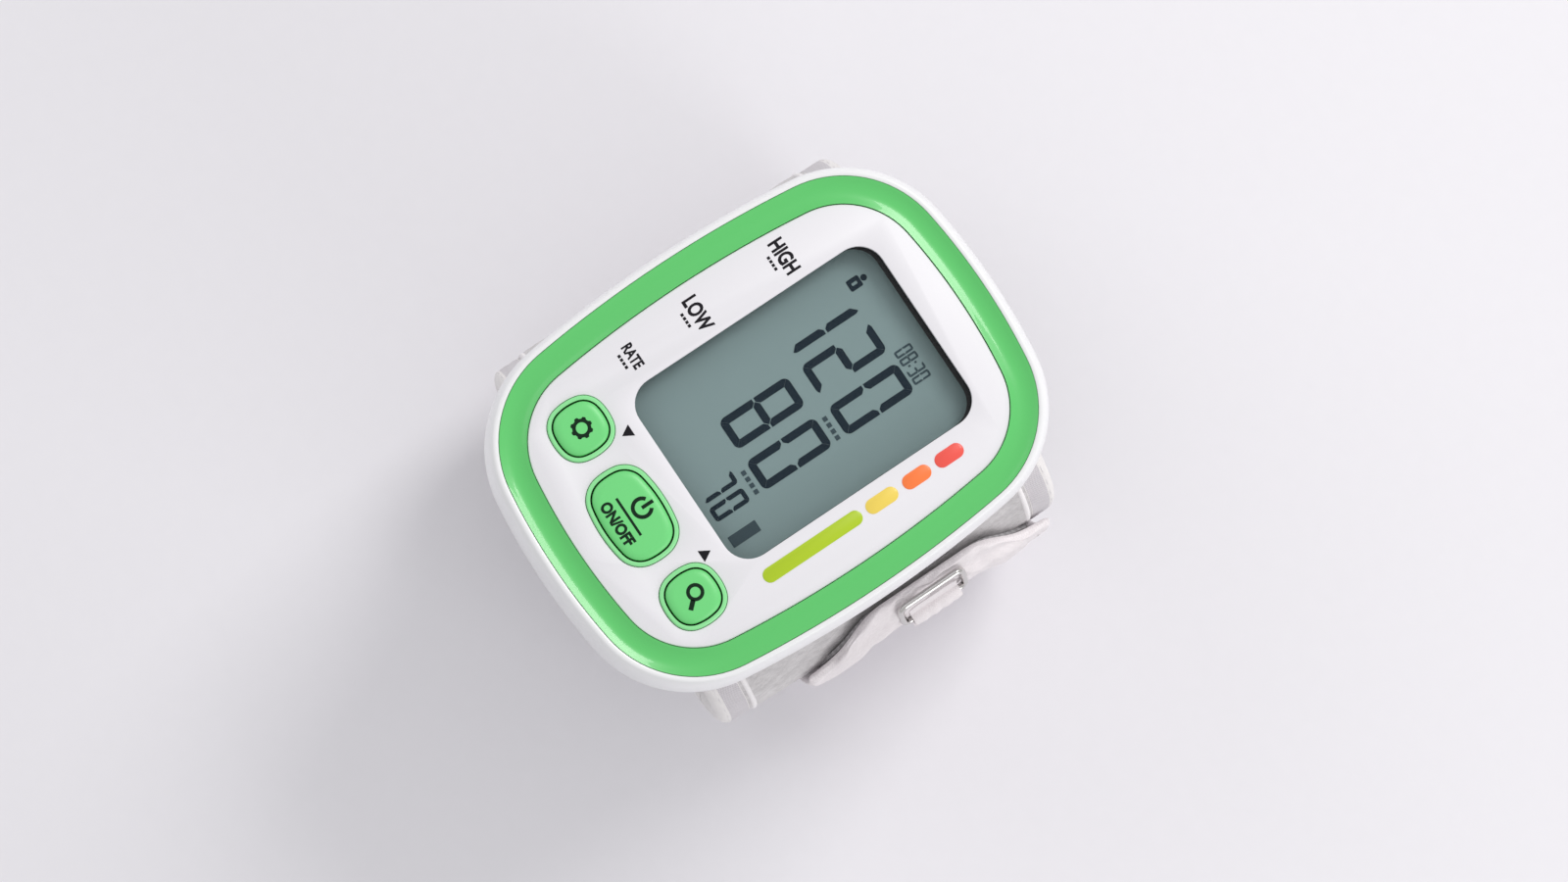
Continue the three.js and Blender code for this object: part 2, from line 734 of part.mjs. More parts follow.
// Snap-off door over the cells, cut from the same wall, with a thumb recess and two ribs
function batteryDoor() {
  const wall = cut(
    rearForm(0, rearHeights.top, rearHeights.foot),
    rearForm(wallThick, rearHeights.lap, rearHeights.foot),
  );
  const innerX = -(ringHalfWidth + rimSideWidth - wallThick);
  const ribs = [-1, 1].map((side) => block(
    innerX - wallThick / 2,
    innerX + doorRibReach,
    side * doorGripHalfLength - doorRibThick / 2,
    side * doorGripHalfLength + doorRibThick / 2,
    cellZ - doorHalfHeight / 2,
    cellZ + doorHalfHeight / 2,
  ));
  const outerX = -(ringHalfWidth + rimSideWidth);
  const grip = rodY(
    outerX - doorGripRadius + doorGripDepth,
    cellZ,
    doorGripRadius,
    -doorGripHalfLength,
    doorGripHalfLength,
    circleSteps * 2,
  );
  return cut(joined(wall.intersect(doorCutter(0)), ...ribs), grip);
}

// Shallow dished ring of coloured plastic around the panel
function trimRing() {
  const steps = 5;
  const profile = [];
  for (let i = 0; i <= steps; i += 1) {
    const share = i / steps;
    const level = faceZ - ringInnerDrop * (1 - share) - ringDish * Math.sin(Math.PI * share);
    profile.push([-ringBand * (1 - share), level]);
  }
  profile.push([0, panelBottomZ]);
  const disc = stackedOutline(ringArcs, profile);
  const inside = [[-ringBand, faceZ + cutOverrun], [-ringBand, panelBottomZ - cutOverrun]];
  return cut(disc, stackedOutline(ringArcs, inside));
}

function windowPrism(margin, zFrom, zTo) {
  return extrudedZ(
    roundedRectangle(
      0,
      windowCentreY,
      windowHalfWidth + margin,
      windowHalfHeight + margin,
      windowCorner + margin,
    ),
    zFrom,
    zTo,
  );
}

function facePanel() {
  const edge = -ringBand - pieceGap;
  const profile = [[edge - panelBevel, panelTopZ], [edge, panelTopZ - panelBevel], [edge, panelBottomZ]];
  const cutFrom = panelBottomZ - cutOverrun;
  const cutTo = panelTopZ + cutOverrun;
  const holes = keys.map((key) => keyShaft(key, pieceGap, cutFrom, cutTo));
  const window = windowPrism(0, cutFrom, cutTo);
  return cut(stackedOutline(ringArcs, profile), window, ...holes);
}

// Black frame that lines the window down to the display glass
function lcdFrame() {
  const outer = tunnelMargin - pieceGap;
  const bottomZ = lcdFrameTopZ - lcdFrameDepth;
  return cut(
    windowPrism(outer, bottomZ, lcdFrameTopZ),
    windowPrism(outer - lcdFrameThick, bottomZ - cutOverrun, lcdFrameTopZ + cutOverrun),
  );
}

// Display cell of two glass plates, the rear one reaching further for its contacts
function lcdGlass() {
  const ledge = block(
    -windowHalfWidth - lcdStep,
    windowHalfWidth + lcdStep,
    windowCentreY - windowHalfHeight - lcdStep,
    windowCentreY + windowHalfHeight + lcdStep,
    lcdBottomZ,
    lcdTopZ - lcdGlassThick / 2,
  );
  const front = block(
    -windowHalfWidth - lcdStep,
    windowHalfWidth + lcdStep,
    windowCentreY - windowHalfHeight,
    windowCentreY + windowHalfHeight,
    lcdTopZ - lcdGlassThick * frontPlateShare,
    lcdTopZ,
  );
  return joined(ledge, front);
}

function lcdConnector(side) {
  const edgeY = windowCentreY + side * (windowHalfHeight + lcdStep - connectorInset);
  return block(
    -windowHalfWidth,
    windowHalfWidth,
    edgeY - connectorThick / 2,
    edgeY + connectorThick / 2,
    boardTopZ + pieceGap,
    lcdBottomZ - pieceGap,
  );
}

// One moulding with a collar for each button, behind the panel
function buttonFrame() {
  const centreY = startKeyY;
  let frame = extrudedZ(
    roundedRectangle(
      0,
      centreY,
      smallKeyX + smallKeyHalfWidth + webMargin,
      startKeyHalfHeight + webMargin,
      smallKeyHalfWidth,
    ),
    webBottomZ,
    webTopZ,
  );
  bossSpots.forEach(({ x, y }) => {
    frame = cut(frame, rodZ(x, y, bossRadius + pieceGap, webBottomZ - cutOverrun, webTopZ + cutOverrun));
  });
  const topZ = panelTopZ + collarRise;
  const edge = collarWall * collarEdgeShare;
  keys.forEach(({ arcs, x, y }) => {
    const collar = [[-edge, topZ], [0, topZ - edge], [0, webBottomZ]];
    frame = joined(frame, stackedOutline(arcs, collar, x, y, keyCounts));
  });
  keys.forEach((key) => {
    frame = cut(frame, keyShaft(key, -collarWall, webBottomZ - cutOverrun, topZ + cutOverrun));
  });
  return frame;
}

// Crowned cap, a flange that the collar holds back, and a stem over the switch
function keyCap({ arcs, x, y }) {
  const cap = -collarWall - pieceGap;
  const topZ = panelTopZ + keyRise;
  const profile = [
    ...keyCrownShares.map(([inward, down]) => [cap - keyEdge * inward, topZ - keyEdge * down]),
    [cap, topZ - keyEdge],
    [cap, keyFlangeTopZ],
    [cap + keyFlange, keyFlangeTopZ],
    [cap + keyFlange, keyFlangeBottomZ],
  ];
  const stem = rodZ(x, y, keyStemRadius, keyStemZ, keyFlangeBottomZ + keyFlangeThick / 2);
  return joined(stackedOutline(arcs, profile, x, y, keyCounts), stem);
}

function tactSwitch({ x, y }) {
  const baseZ = boardTopZ + pieceGap;
  const body = block(
    x - switchHalfSide,
    x + switchHalfSide,
    y - switchHalfSide,
    y + switchHalfSide,
    baseZ,
    baseZ + switchHeight,
  );
  return joined(body, rodZ(x, y, plungerRadius, baseZ + switchHeight / 2, plungerTopZ));
}

function mainBoard() {
  const board = stackedOutline(caseArcs, [[-boardInset, boardTopZ], [-boardInset, boardBottomZ]]);
  const holes = bossSpots.map(({ x, y }) =>
    rodZ(x, y, bossRadius + pieceGap, boardBottomZ - cutOverrun, boardTopZ + cutOverrun));
  return cut(board, ...holes);
}

function pressureSensor() {
  const topZ = boardBottomZ - pieceGap;
  const body = block(
    valveX - sensorHalfSide,
    valveX + sensorHalfSide,
    sensorY - sensorHalfSide,
    sensorY + sensorHalfSide,
    topZ - sensorHeight,
    topZ,
  );
  const frontY = sensorY - sensorHalfSide;
  return joined(body, rodY(valveX, sensorBarbZ, barbRadius, frontY - barbLength, frontY + sensorHalfSide));
}

function buzzer() {
  const topZ = boardBottomZ - pieceGap;
  const bottomZ = topZ - buzzerHeight;
  const port = rodZ(buzzerX, buzzerY, buzzerPort, bottomZ - cutOverrun, bottomZ + buzzerHeight / 2);
  return cut(rodZ(buzzerX, buzzerY, buzzerRadius, bottomZ, topZ, circleSteps), port);
}

// Cradle for two cells side by side, its underside bowed like the floor that it stands on
function batteryTray() {
  const baseZ = cellZ - cellRadius - pieceGap - trayThick;
  const xFrom = cellOuterX - cellRadius * trayCradleShare;
  const wallZ = cellZ - cellRadius * trayWallShare;
  const base = block(xFrom, traySideX, -trayHalfLength, trayHalfLength, baseZ, wallZ);
  const ends = [-1, 1].map((side) => block(
    xFrom,
    traySideX,
    side > 0 ? trayHalfLength - trayEndThick : -trayHalfLength,
    side > 0 ? trayHalfLength : -trayHalfLength + trayEndThick,
    baseZ,
    cellZ + cellRadius * trayEndShare,
  ));
  const innerLength = trayHalfLength - trayEndThick;
  const contactSlot = contactThick + 2 * pieceGap;
  const cradles = [cellOuterX, cellInnerX].map((x) =>
    rodY(x, cellZ, cellRadius + pieceGap, -innerLength, innerLength, circleSteps));
  const contactSlots = [-1, 1].map((side) => block(
    cellOuterX - contactHalfWidth - pieceGap,
    cellInnerX + contactHalfWidth + pieceGap,
    side > 0 ? innerLength - contactSlot : -innerLength,
    side > 0 ? innerLength : -innerLength + contactSlot,
    cellZ - contactHeight / 2 - pieceGap,
    cellZ + contactHeight / 2 + pieceGap,
  ));
  return cut(
    joined(cut(base, ...cradles, ...contactSlots), ...ends),
    cuffEnvelope(2 * pieceGap + wallThick),
  );
}

// A cell with its nub towards +Y or -Y
function cell(x, side) {
  const start = -cellRoom / 2 + contactThick + pieceGap + springRoomLength;
  const end = start + cellLength;
  const profile = [
    [start, 0],
    [start, cellRadius - cellRim],
    [start + cellRim, cellRadius],
    [end - cellRim, cellRadius],
    [end, cellRadius - cellRim],
    [end, cellNubRadius],
    [end + cellNubLength, cellNubRadius],
    [end + cellNubLength, 0],
  ];
  if (side < 0) profile.reverse();
  return turnedY(x, cellZ, profile.map(([y, r]) => [side * y, r]));
}

class ConeSpring extends THREE.Curve {
  constructor(x, y, side) {
    super();
    this.base = new THREE.Vector3(x, y, cellZ);
    this.side = side;
  }

  getPoint(share, target = new THREE.Vector3()) {
    const turn = share * springTurns * Math.PI * 2;
    const radius = springRadius + (springTipRadius - springRadius) * share;
    const along = this.side * share * (springRoomLength - springWire);
    return target.set(
      this.base.x + radius * Math.cos(turn),
      this.base.y + along,
      this.base.z + radius * Math.sin(turn),
    );
  }
}

function contactSpring(x, side) {
  const wire = new THREE.Shape();
  wire.absarc(0, 0, springWire, 0, Math.PI * 2);
  const face = side * (-cellRoom / 2 + contactThick);
  const geometry = new THREE.ExtrudeGeometry(wire, {
    steps: springTurns * 8,
    curveSegments: 3,
    extrudePath: new ConeSpring(x, face, side),
  });
  return solid(geometry);
}

function contactPlate(xFrom, xTo, end) {
  const yFrom = end < 0 ? -cellRoom / 2 : cellRoom / 2 - contactThick;
  const reach = contactHeight / 2;
  return block(xFrom, xTo, yFrom, yFrom + contactThick, cellZ - reach, cellZ + reach);
}

// Motor can with two flats, and a bush that centres it in the pump head
function pumpMotor() {
  const flatAngle = Math.asin(motorFlat / motorRadius);
  const shape = new THREE.Shape();
  shape.absarc(pumpX, pumpZ, motorRadius, -flatAngle, flatAngle);
  shape.absarc(pumpX, pumpZ, motorRadius, Math.PI - flatAngle, Math.PI + flatAngle);
  const bush = rodY(pumpX, pumpZ, motorBushRadius, motorEnd - motorBushLength, motorEnd + motorBushLength);
  const bearing = rodY(pumpX, pumpZ, camShaftRadius + pieceGap, motorEnd - motorBushLength, headCavityFrom);
  return cut(joined(extrudedY(shape, motorStart, motorEnd), bush), bearing);
}

// Pump head: crank chamber with open windows above and below, valve block and outlet
function pumpHead() {
  const body = extrudedY(
    roundedRectangle(pumpX, pumpZ, pumpHeadHalfWidth, pumpHeadHalfHeight, pumpHeadCorner),
    headStart,
    headEnd,
    3,
  );
  const chamber = block(
    pumpX - pumpHeadHalfWidth + pumpWall,
    pumpX + pumpHeadHalfWidth - pumpWall,
    headCavityFrom,
    headCavityTo,
    pumpZ - pumpHeadHalfHeight - cutOverrun,
    pumpZ + pumpHeadHalfHeight + cutOverrun,
  );
  const bushHole = rodY(pumpX, pumpZ, motorBushRadius + pieceGap, headStart - cutOverrun, headCavityTo);
  const outlet = rodY(pumpX, pumpZ, barbRadius, headEnd - pumpWall, headEnd + barbLength);
  return joined(cut(body, chamber, bushHole), outlet);
}

// Shaft, disc and crank pin that drive the pump
function pumpCam() {
  const discFrom = headCavityFrom + camClearance;
  const discTo = discFrom + camThick;
  const middle = (discFrom + discTo) / 2;
  return joined(
    rodY(pumpX, pumpZ, camShaftRadius, motorEnd - motorBushLength + pieceGap, middle),
    rodY(pumpX, pumpZ, camRadius, discFrom, discTo, circleSteps),
    rodY(pumpX, pumpZ + crankOffset, crankRadius, middle, discTo + crankLength),
  );
}

function valveYoke() {
  const frame = block(
    valveX - yokeHalfWidth,
    valveX + yokeHalfWidth,
    valveStart,
    valveEnd,
    valveZ - yokeHalfHeight,
    valveZ + yokeHalfHeight,
  );
  const inside = block(
    valveX - yokeHalfWidth + yokeThick,
    valveX + yokeHalfWidth - yokeThick,
    valveStart + yokeThick,
    valveEnd - yokeThick,
    valveZ - yokeHalfHeight - cutOverrun,
    valveZ + yokeHalfHeight + cutOverrun,
  );
  const barb = rodY(valveX, valveZ, barbRadius, valveEnd - yokeThick / 2, valveEnd + barbLength);
  return joined(cut(frame, inside), barb);
}

function valveCoil() {
  const from = valveStart + yokeThick + pieceGap;
  const bore = valvePinRadius + pieceGap;
  return turnedY(valveX, valveZ, [
    [from, bore],
    [from, coilRadius],
    [from + coilFlange, coilRadius],
    [from + coilFlange, coilSpoolRadius],
    [coilEnd - coilFlange, coilSpoolRadius],
    [coilEnd - coilFlange, coilRadius],
    [coilEnd, coilRadius],
    [coilEnd, bore],
    [from, bore],
  ], smallCircleSteps);
}

function valvePlunger() {
  const tip = valveEnd - yokeThick - pieceGap;
  const root = valveStart + yokeThick + pieceGap + valveTravel;
  return joined(
    rodY(valveX, valveZ, valvePinHead, tip - valvePinHeadThick, tip),
    rodY(valveX, valveZ, valvePinRadius, root, tip - valvePinHeadThick / 2),
  );
}

// Four-way air joint; its lower arm plugs into the bladder's spout
function airTee() {
  const reach = teeRadius + barbLength;
  return joined(
    rodZ(valveX, teeY, teeRadius, valveZ - teeRadius, valveZ + teeRadius),
    rodY(valveX, valveZ, barbRadius, teeY - reach, teeY + reach),
    rodX(teeY, valveZ, barbRadius, valveX, valveX + reach),
    rodZ(valveX, teeY, barbRadius, valveZ - reach, valveZ),
  );
}

function hose(path, steps) {
  const ring = new THREE.Shape();
  ring.absarc(0, 0, hoseRadius, 0, Math.PI * 2);
  const bore = new THREE.Path();
  bore.absarc(0, 0, barbRadius + pieceGap, 0, Math.PI * 2, true);
  ring.holes.push(bore);
  return solid(new THREE.ExtrudeGeometry(ring, { steps, curveSegments: 3, extrudePath: path }));
}

const hosePoint = (x, y, z) => new THREE.Vector3(x, y, z);

function pumpHose() {
  const path = new THREE.CurvePath();
  const start = valveX + teeRadius + pieceGap;
  const end = headEnd + pieceGap;
  const bendStart = hosePoint(start + barbLength, teeY, valveZ);
  const bendEnd = hosePoint(pumpX, end + barbLength, pumpZ);
  path.add(new THREE.LineCurve3(hosePoint(start, teeY, valveZ), bendStart));
  path.add(new THREE.CubicBezierCurve3(
    bendStart,
    hosePoint(pumpX - barbLength, teeY, valveZ),
    hosePoint(pumpX, teeY - barbLength / 2, pumpZ),
    bendEnd,
  ));
  path.add(new THREE.LineCurve3(bendEnd, hosePoint(pumpX, end, pumpZ)));
  return hose(path, 11);
}

function sensorHose() {
  const path = new THREE.CurvePath();
  const start = teeY + teeRadius + pieceGap;
  const end = sensorY - sensorHalfSide - pieceGap;
  const bendStart = hosePoint(valveX, start + barbLength, valveZ);
  const bendEnd = hosePoint(valveX, end - barbLength, sensorBarbZ);
  const middleY = (bendStart.y + bendEnd.y) / 2;
  path.add(new THREE.LineCurve3(hosePoint(valveX, start, valveZ), bendStart));
  path.add(new THREE.CubicBezierCurve3(
    bendStart,
    hosePoint(valveX, middleY, valveZ),
    hosePoint(valveX, middleY, sensorBarbZ),
    bendEnd,
  ));
  path.add(new THREE.LineCurve3(bendEnd, hosePoint(valveX, end, sensorBarbZ)));
  return hose(path, 8);
}

function valveHose() {
  const from = hosePoint(valveX, valveEnd + pieceGap, valveZ);
  return hose(new THREE.LineCurve3(from, hosePoint(valveX, teeY - teeRadius - pieceGap, valveZ)), 1);
}

function caseScrew({ x, y }) {
  const headFrom = screwSeatZ - screwHeadHeight;
  const driveZ = headFrom + screwDriveDepth;
  const slot = (halfX, halfY) => block(x - halfX, x + halfX, y - halfY, y + halfY, 0, driveZ);
  const slots = [slot(screwDriveHalf, screwDriveSlot), slot(screwDriveSlot, screwDriveHalf)];
  return cut(
    joined(
      rodZ(x, y, screwHeadRadius, headFrom, screwSeatZ),
      rodZ(x, y, screwRadius, headFrom + screwHeadHeight / 2, screwSeatZ + screwLength),
    ),
    ...slots,
  );
}

// Cuff: four layers over the top and down both sides, then the wrap below and the strap's free end
function cuffLayers() {
  const leftEnd = wrapFoldAngle - foldGapAngle / 2;
  const inner = [cuffElbowEnd + bindingWidth + pieceGap, cuffHandEnd - bindingWidth - pieceGap];
  add('cuff_lining', layer(flapEndAngle, leftEnd, 0, liningThick, ...inner), cuffLiningGrey);

  const filled = [flapEndAngle + bladderSetback, leftEnd - bladderSetback];
  const bladder = layer(...filled, bladderFrom, bladderTo, ...inner);
  const spout = cut(
    rodZ(valveX, teeY, spoutRadius, bladderSpoutRootZ, valveZ - teeRadius - pieceGap),
    rodZ(valveX, teeY, barbRadius + pieceGap, valveZ - teeRadius - pieceGap - spoutBoreDepth, faceZ),
  );
  add('cuff_bladder', joined(bladder, spout), bladderRubber);

  const spoutHole = rodZ(valveX, teeY, spoutRadius + pieceGap, sectionZ, faceZ);
  const plate = cut(layer(shellFromAngle, shellToAngle, shellFrom, shellTo, ...inner), spoutHole);
  const core = cuffCore(shellFrom, cuffElbowEnd, cuffHandEnd);
  const studRootZ = bladderSpoutRootZ + bladderThick;
  const studs = studSpots.map(({ x, y }) => cut(rodZ(x, y, shellStudRadius, studRootZ, studTopZ), core));
  add('cuff_shell', joined(plate, ...studs), naturalPlastic);

  const fabric = layer(flapEndAngle, leftEnd, fabricFrom, cuffThick, ...inner);
  const studHoles = studSpots.map(({ x, y }) => rodZ(x, y, shellStudRadius + pieceGap, sectionZ, faceZ));
  add('cuff_fabric', cut(fabric, spoutHole, ...studHoles), cuffGrey);

  cuffEdges.forEach(({ name, from, to }) => {
    const edge = layer(flapEndAngle, leftEnd, bindingInset, cuffThick - bindingInset, from, to);
    add(`cuff_binding_${name}`, edge, bindingWhite);
  });
}

const ease = (share) => {
  const s = Math.min(1, Math.max(0, share));
  return s * s * (3 - 2 * s);
};
const strapShare = (angle) => ease((angle - wrapPadEndAngle) / (strapLapAngle - wrapPadEndAngle));
const strapInner = (angle) => fabricFrom + (cuffThick + pieceGap - fabricFrom) * strapShare(angle);
const strapOuter = (angle) => cuffThick + (strapThick + pieceGap) * strapShare(angle);

function wrapLayers() {
  const start = wrapFoldAngle + foldGapAngle / 2;
  const inner = [cuffElbowEnd + bindingWidth + pieceGap, cuffHandEnd - bindingWidth - pieceGap];
  add('wrap_lining', layer(start, wrapPadEndAngle, 0, liningThick, ...inner), cuffLiningGrey);
  const filled = [start + bladderSetback, wrapPadEndAngle - bladderSetback];
  add('wrap_bladder', layer(...filled, bladderFrom, shellTo, ...inner), bladderRubber);
  const broad = layer(start, strapNarrowAngle, strapInner, strapOuter, ...inner);
  const narrow = layer(
    strapNarrowAngle - cuffStep / 2,
    tongueFoldAngle - foldGapAngle / 2,
    strapInner,
    strapOuter,
    tongueElbowEnd,
    tongueHandEnd,
  );
  add('wrap_fabric', joined(broad, narrow), cuffGrey);
  cuffEdges.forEach(({ name, from, to }) => {
    const edge = layer(start, wrapPadEndAngle, bindingInset, cuffThick - bindingInset, from, to);
    add(`wrap_binding_${name}`, edge, bindingWhite);
  });
}

// Outline of the strap's end seen from the side: square shoulders that run in to a narrow tip
function tongueOutline(margin, tipZ) {
  const shoulderZ = sectionZ + tongueCornerRise - margin;
  const hand = tongueHandEnd - margin;
  const elbow = tongueElbowEnd + margin;
  const tipHand = tongueTipHandEnd - margin / 2;
  const tipElbow = tongueTipElbowEnd + margin / 2;
  const shape = new THREE.Shape();
  shape.moveTo(elbow, 0);
  shape.lineTo(hand, 0);
  shape.lineTo(hand, shoulderZ);
  shape.bezierCurveTo(
    hand - (hand - tipHand) * shoulderShare,
    shoulderZ,
    tipHand + (hand - tipHand) * tipShare,
    tipZ,
    tipHand,
    tipZ,
  );
  shape.lineTo(tipElbow, tipZ);
  shape.bezierCurveTo(
    tipElbow - (tipElbow - elbow) * tipShare,
    tipZ,
    elbow + (tipElbow - elbow) * shoulderShare,
    shoulderZ,
    elbow,
    shoulderZ,
  );
  const geometry = new THREE.ExtrudeGeometry(shape, {
    depth: wristHalfWidth * 2,
    bevelEnabled: false,
    curveSegments: 8,
  });
  geometry.applyMatrix4(new THREE.Matrix4().set(0, 0, 1, 0, 1, 0, 0, 0, 0, 1, 0, 0, 0, 0, 0, 1));
  return solid(geometry);
}

function tonguePieces() {
  const from = tongueFoldAngle + foldGapAngle / 2;
  const tipZ = cuffPoint(tongueTipAngle, tongueOuter).y;
  const strap = layer(from, tongueTipAngle, tongueInner, tongueOuter, tongueElbowEnd, tongueHandEnd);
  add('tongue_fabric', strap.intersect(tongueOutline(0, tipZ)), cuffGrey);
  const padZ = cuffPoint(hookPadEndAngle, tongueInner).y;
  const pad = layer(hookPadStartAngle, hookPadEndAngle, hookFrom, hookTo, tongueElbowEnd, tongueHandEnd);
  add('hook_pad', pad.intersect(tongueOutline(hookPadInset, padZ)), hookGrey);
}

// A wire bent round a closed path, in its own X-Y plane
function closedWire(path, radius, steps) {
  const positions = [];
  const index = [];
  const count = path.length;
  for (let i = 0; i < count; i += 1) {
    const ahead = path[(i + 1) % count].clone().sub(path[(i + count - 1) % count]).normalize();
    for (let k = 0; k < steps; k += 1) {
      const turn = (k / steps) * Math.PI * 2;
      const out = radius * Math.cos(turn);
      positions.push(path[i].x + ahead.y * out, path[i].y - ahead.x * out, radius * Math.sin(turn));
      const next = ((i + 1) % count) * steps;
      const beside = (k + 1) % steps;
      index.push(i * steps + k, next + k, next + beside, i * steps + k, next + beside, i * steps + beside);
    }
  }
  const geometry = new THREE.BufferGeometry();
  geometry.setAttribute('position', new THREE.Float32BufferAttribute(positions, 3));
  geometry.setIndex(index);
  return solid(geometry);
}

// Wire ring lying on the strap's tip, and the fabric loop over its lower bar. In this frame X runs
// down the strap, Y along the arm and Z out of the strap.
function tipPieces() {
  const seat = cuffPoint(ringSeatAngle, tongueOuter + pieceGap + ringWireRadius);
  const tip = new THREE.Group();
  tip.position.set(seat.x, (tongueTipHandEnd + tongueTipElbowEnd) / 2, seat.y);
  tip.rotation.y = Math.PI / 2 - ringSeatAngle;
  monitor.add(tip);

  const halfLength = ringLength / 2 - ringWireRadius;
  const halfWidth = ringWidth / 2 - ringWireRadius;
  const path = roundedRectangle(0, 0, halfWidth, halfLength, ringBend).getPoints(2);
  const loop = path.filter((point, i) => i === 0 || point.distanceTo(path[i - 1]) > mergeDistance);
  if (loop[0].distanceTo(loop[loop.length - 1]) < mergeDistance) loop.pop();
  tip.add(add('pull_ring', closedWire(loop, ringWireRadius, 8), steel));

  const inner = ringWireRadius + pieceGap;
  const outer = inner + loopThick;
  const shape = new THREE.Shape();
  shape.moveTo(halfWidth - outer - loopFoot, -ringWireRadius);
  shape.lineTo(halfWidth - inner, -ringWireRadius);
  shape.absarc(halfWidth, 0, inner, Math.PI, 0, true);
  shape.lineTo(halfWidth + inner, -ringWireRadius);
  shape.lineTo(halfWidth + outer + loopFoot, -ringWireRadius);
  shape.lineTo(halfWidth + outer + loopFoot, loopThick - ringWireRadius);
  shape.absarc(halfWidth, 0, outer, 0, Math.PI);
  shape.lineTo(halfWidth - outer - loopFoot, loopThick - ringWireRadius);
  tip.add(add('ring_loop', extrudedY(shape, -loopWidth / 2, loopWidth / 2), bindingWhite));
}

add('front_cover', frontCover(), whitePlastic);
add('rear_cover', rearCover(), whitePlastic);
add('trim_ring', trimRing(), greenPlastic);
add('face_panel', facePanel(), panelFilm);
add('button_frame', buttonFrame(), greenPlastic);
add('display_lens', windowPrism(lensMargin, lensBottomZ, lensTopZ), clearPlastic);
add('lcd_frame', lcdFrame(), blackPlastic);
add('lcd_glass', lcdGlass(), lcdGlassFinish);
add('lcd_connector_upper', lcdConnector(1), darkRubber);
add('lcd_connector_lower', lcdConnector(-1), darkRubber);
add('main_board', mainBoard(), boardGreen);
keys.forEach((key) => {
  add(`button_${key.name}`, keyCap(key), keyPlastic);
  add(`switch_${key.name}`, tactSwitch(key), componentBlack);
});
add('pressure_sensor', pressureSensor(), componentBlack);
add('buzzer', buzzer(), blackPlastic);
add('battery_door', batteryDoor(), whitePlastic);
add('battery_tray', batteryTray(), greyPlastic);
add('battery_outer', cell(cellOuterX, 1), cellWrap);
add('battery_inner', cell(cellInnerX, -1), cellWrap);
add('contact_negative', joined(
  contactPlate(cellOuterX - contactHalfWidth, cellOuterX + contactHalfWidth, -1),
  contactSpring(cellOuterX, 1),
), steel);
add('contact_positive', contactPlate(
  cellInnerX - contactHalfWidth,
  cellInnerX + contactHalfWidth,
  -1,
), steel);
add('contact_bridge', joined(
  contactPlate(cellOuterX - contactHalfWidth, cellInnerX + contactHalfWidth, 1),
  contactSpring(cellInnerX, -1),
), steel);
add('pump_motor', pumpMotor(), steel);
add('pump_head', pumpHead(), blackPlastic);
add('pump_cam', pumpCam(), brass);
add('valve_yoke', valveYoke(), steel);
add('valve_coil', valveCoil(), copper);
add('valve_plunger', valvePlunger(), steel);
add('air_tee', airTee(), naturalPlastic);
add('hose_pump', pumpHose(), siliconeClear);
add('hose_valve', valveHose(), siliconeClear);
add('hose_sensor', sensorHose(), siliconeClear);
bossSpots.forEach((spot, i) => add(`case_screw_${i + 1}`, caseScrew(spot), steel));
cuffLayers();
wrapLayers();
tonguePieces();
tipPieces();

export default monitor;
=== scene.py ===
import math
from functools import partial

import bmesh
import bpy
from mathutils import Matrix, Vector, noise


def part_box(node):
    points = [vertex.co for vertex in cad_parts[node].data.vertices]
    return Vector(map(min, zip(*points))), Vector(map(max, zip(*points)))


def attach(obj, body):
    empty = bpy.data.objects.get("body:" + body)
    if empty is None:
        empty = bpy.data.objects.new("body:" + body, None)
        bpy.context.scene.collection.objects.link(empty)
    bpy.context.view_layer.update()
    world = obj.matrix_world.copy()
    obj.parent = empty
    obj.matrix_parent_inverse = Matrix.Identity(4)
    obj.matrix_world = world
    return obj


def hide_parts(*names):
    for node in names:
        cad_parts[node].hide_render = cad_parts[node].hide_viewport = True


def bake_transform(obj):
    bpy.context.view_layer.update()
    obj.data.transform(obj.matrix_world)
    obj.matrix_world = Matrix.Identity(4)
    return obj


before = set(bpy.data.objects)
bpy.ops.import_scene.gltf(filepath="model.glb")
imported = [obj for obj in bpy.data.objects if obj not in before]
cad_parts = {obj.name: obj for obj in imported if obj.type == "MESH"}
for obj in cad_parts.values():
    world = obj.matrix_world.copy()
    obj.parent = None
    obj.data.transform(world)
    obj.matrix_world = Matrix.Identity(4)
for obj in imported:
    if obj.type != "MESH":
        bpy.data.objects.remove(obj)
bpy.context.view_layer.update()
print("frame loaded:", len(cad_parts), "nodes")

mm = 0.001  # sizes below are in millimetres
turn = math.tau


def boxOf(node):
    low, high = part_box(node)
    return low / mm, high / mm


# Camera and studio

cameraView = {
    "place": (30.967, -58.529, 666.096),
    "angles": (0.099822, 0.046469, 0.979192),  # turned about X, then Y, then Z
    "lens": 85,
    "sensor": 36,
    "nearest": 10,
}
studio = {
    "floorHalf": 1500,
    "floorColor": (231, 229, 234),
    "floorFleck": 2,  # the flecks in its paper are this much darker
    "floorGrain": 900,
    "floorRoughness": 0.9,
    "floorSpecular": 0.2,
    "worldColor": (1.0, 1.0, 1.0, 1),
    "worldStrength": 0.62,
    "lampsLookAt": (0, 0, 45),
    "lamps": [
        # name, place, size, power, colour
        ("keyLamp", (-150, 520, 620), 300, 2.6, (1.0, 0.99, 0.97)),
        ("fillLamp", (-520, -260, 420), 500, 0.7, (0.97, 0.98, 1.0)),
        ("rimLamp", (560, 120, 260), 360, 1.1, (1.0, 1.0, 1.0)),
    ],
}


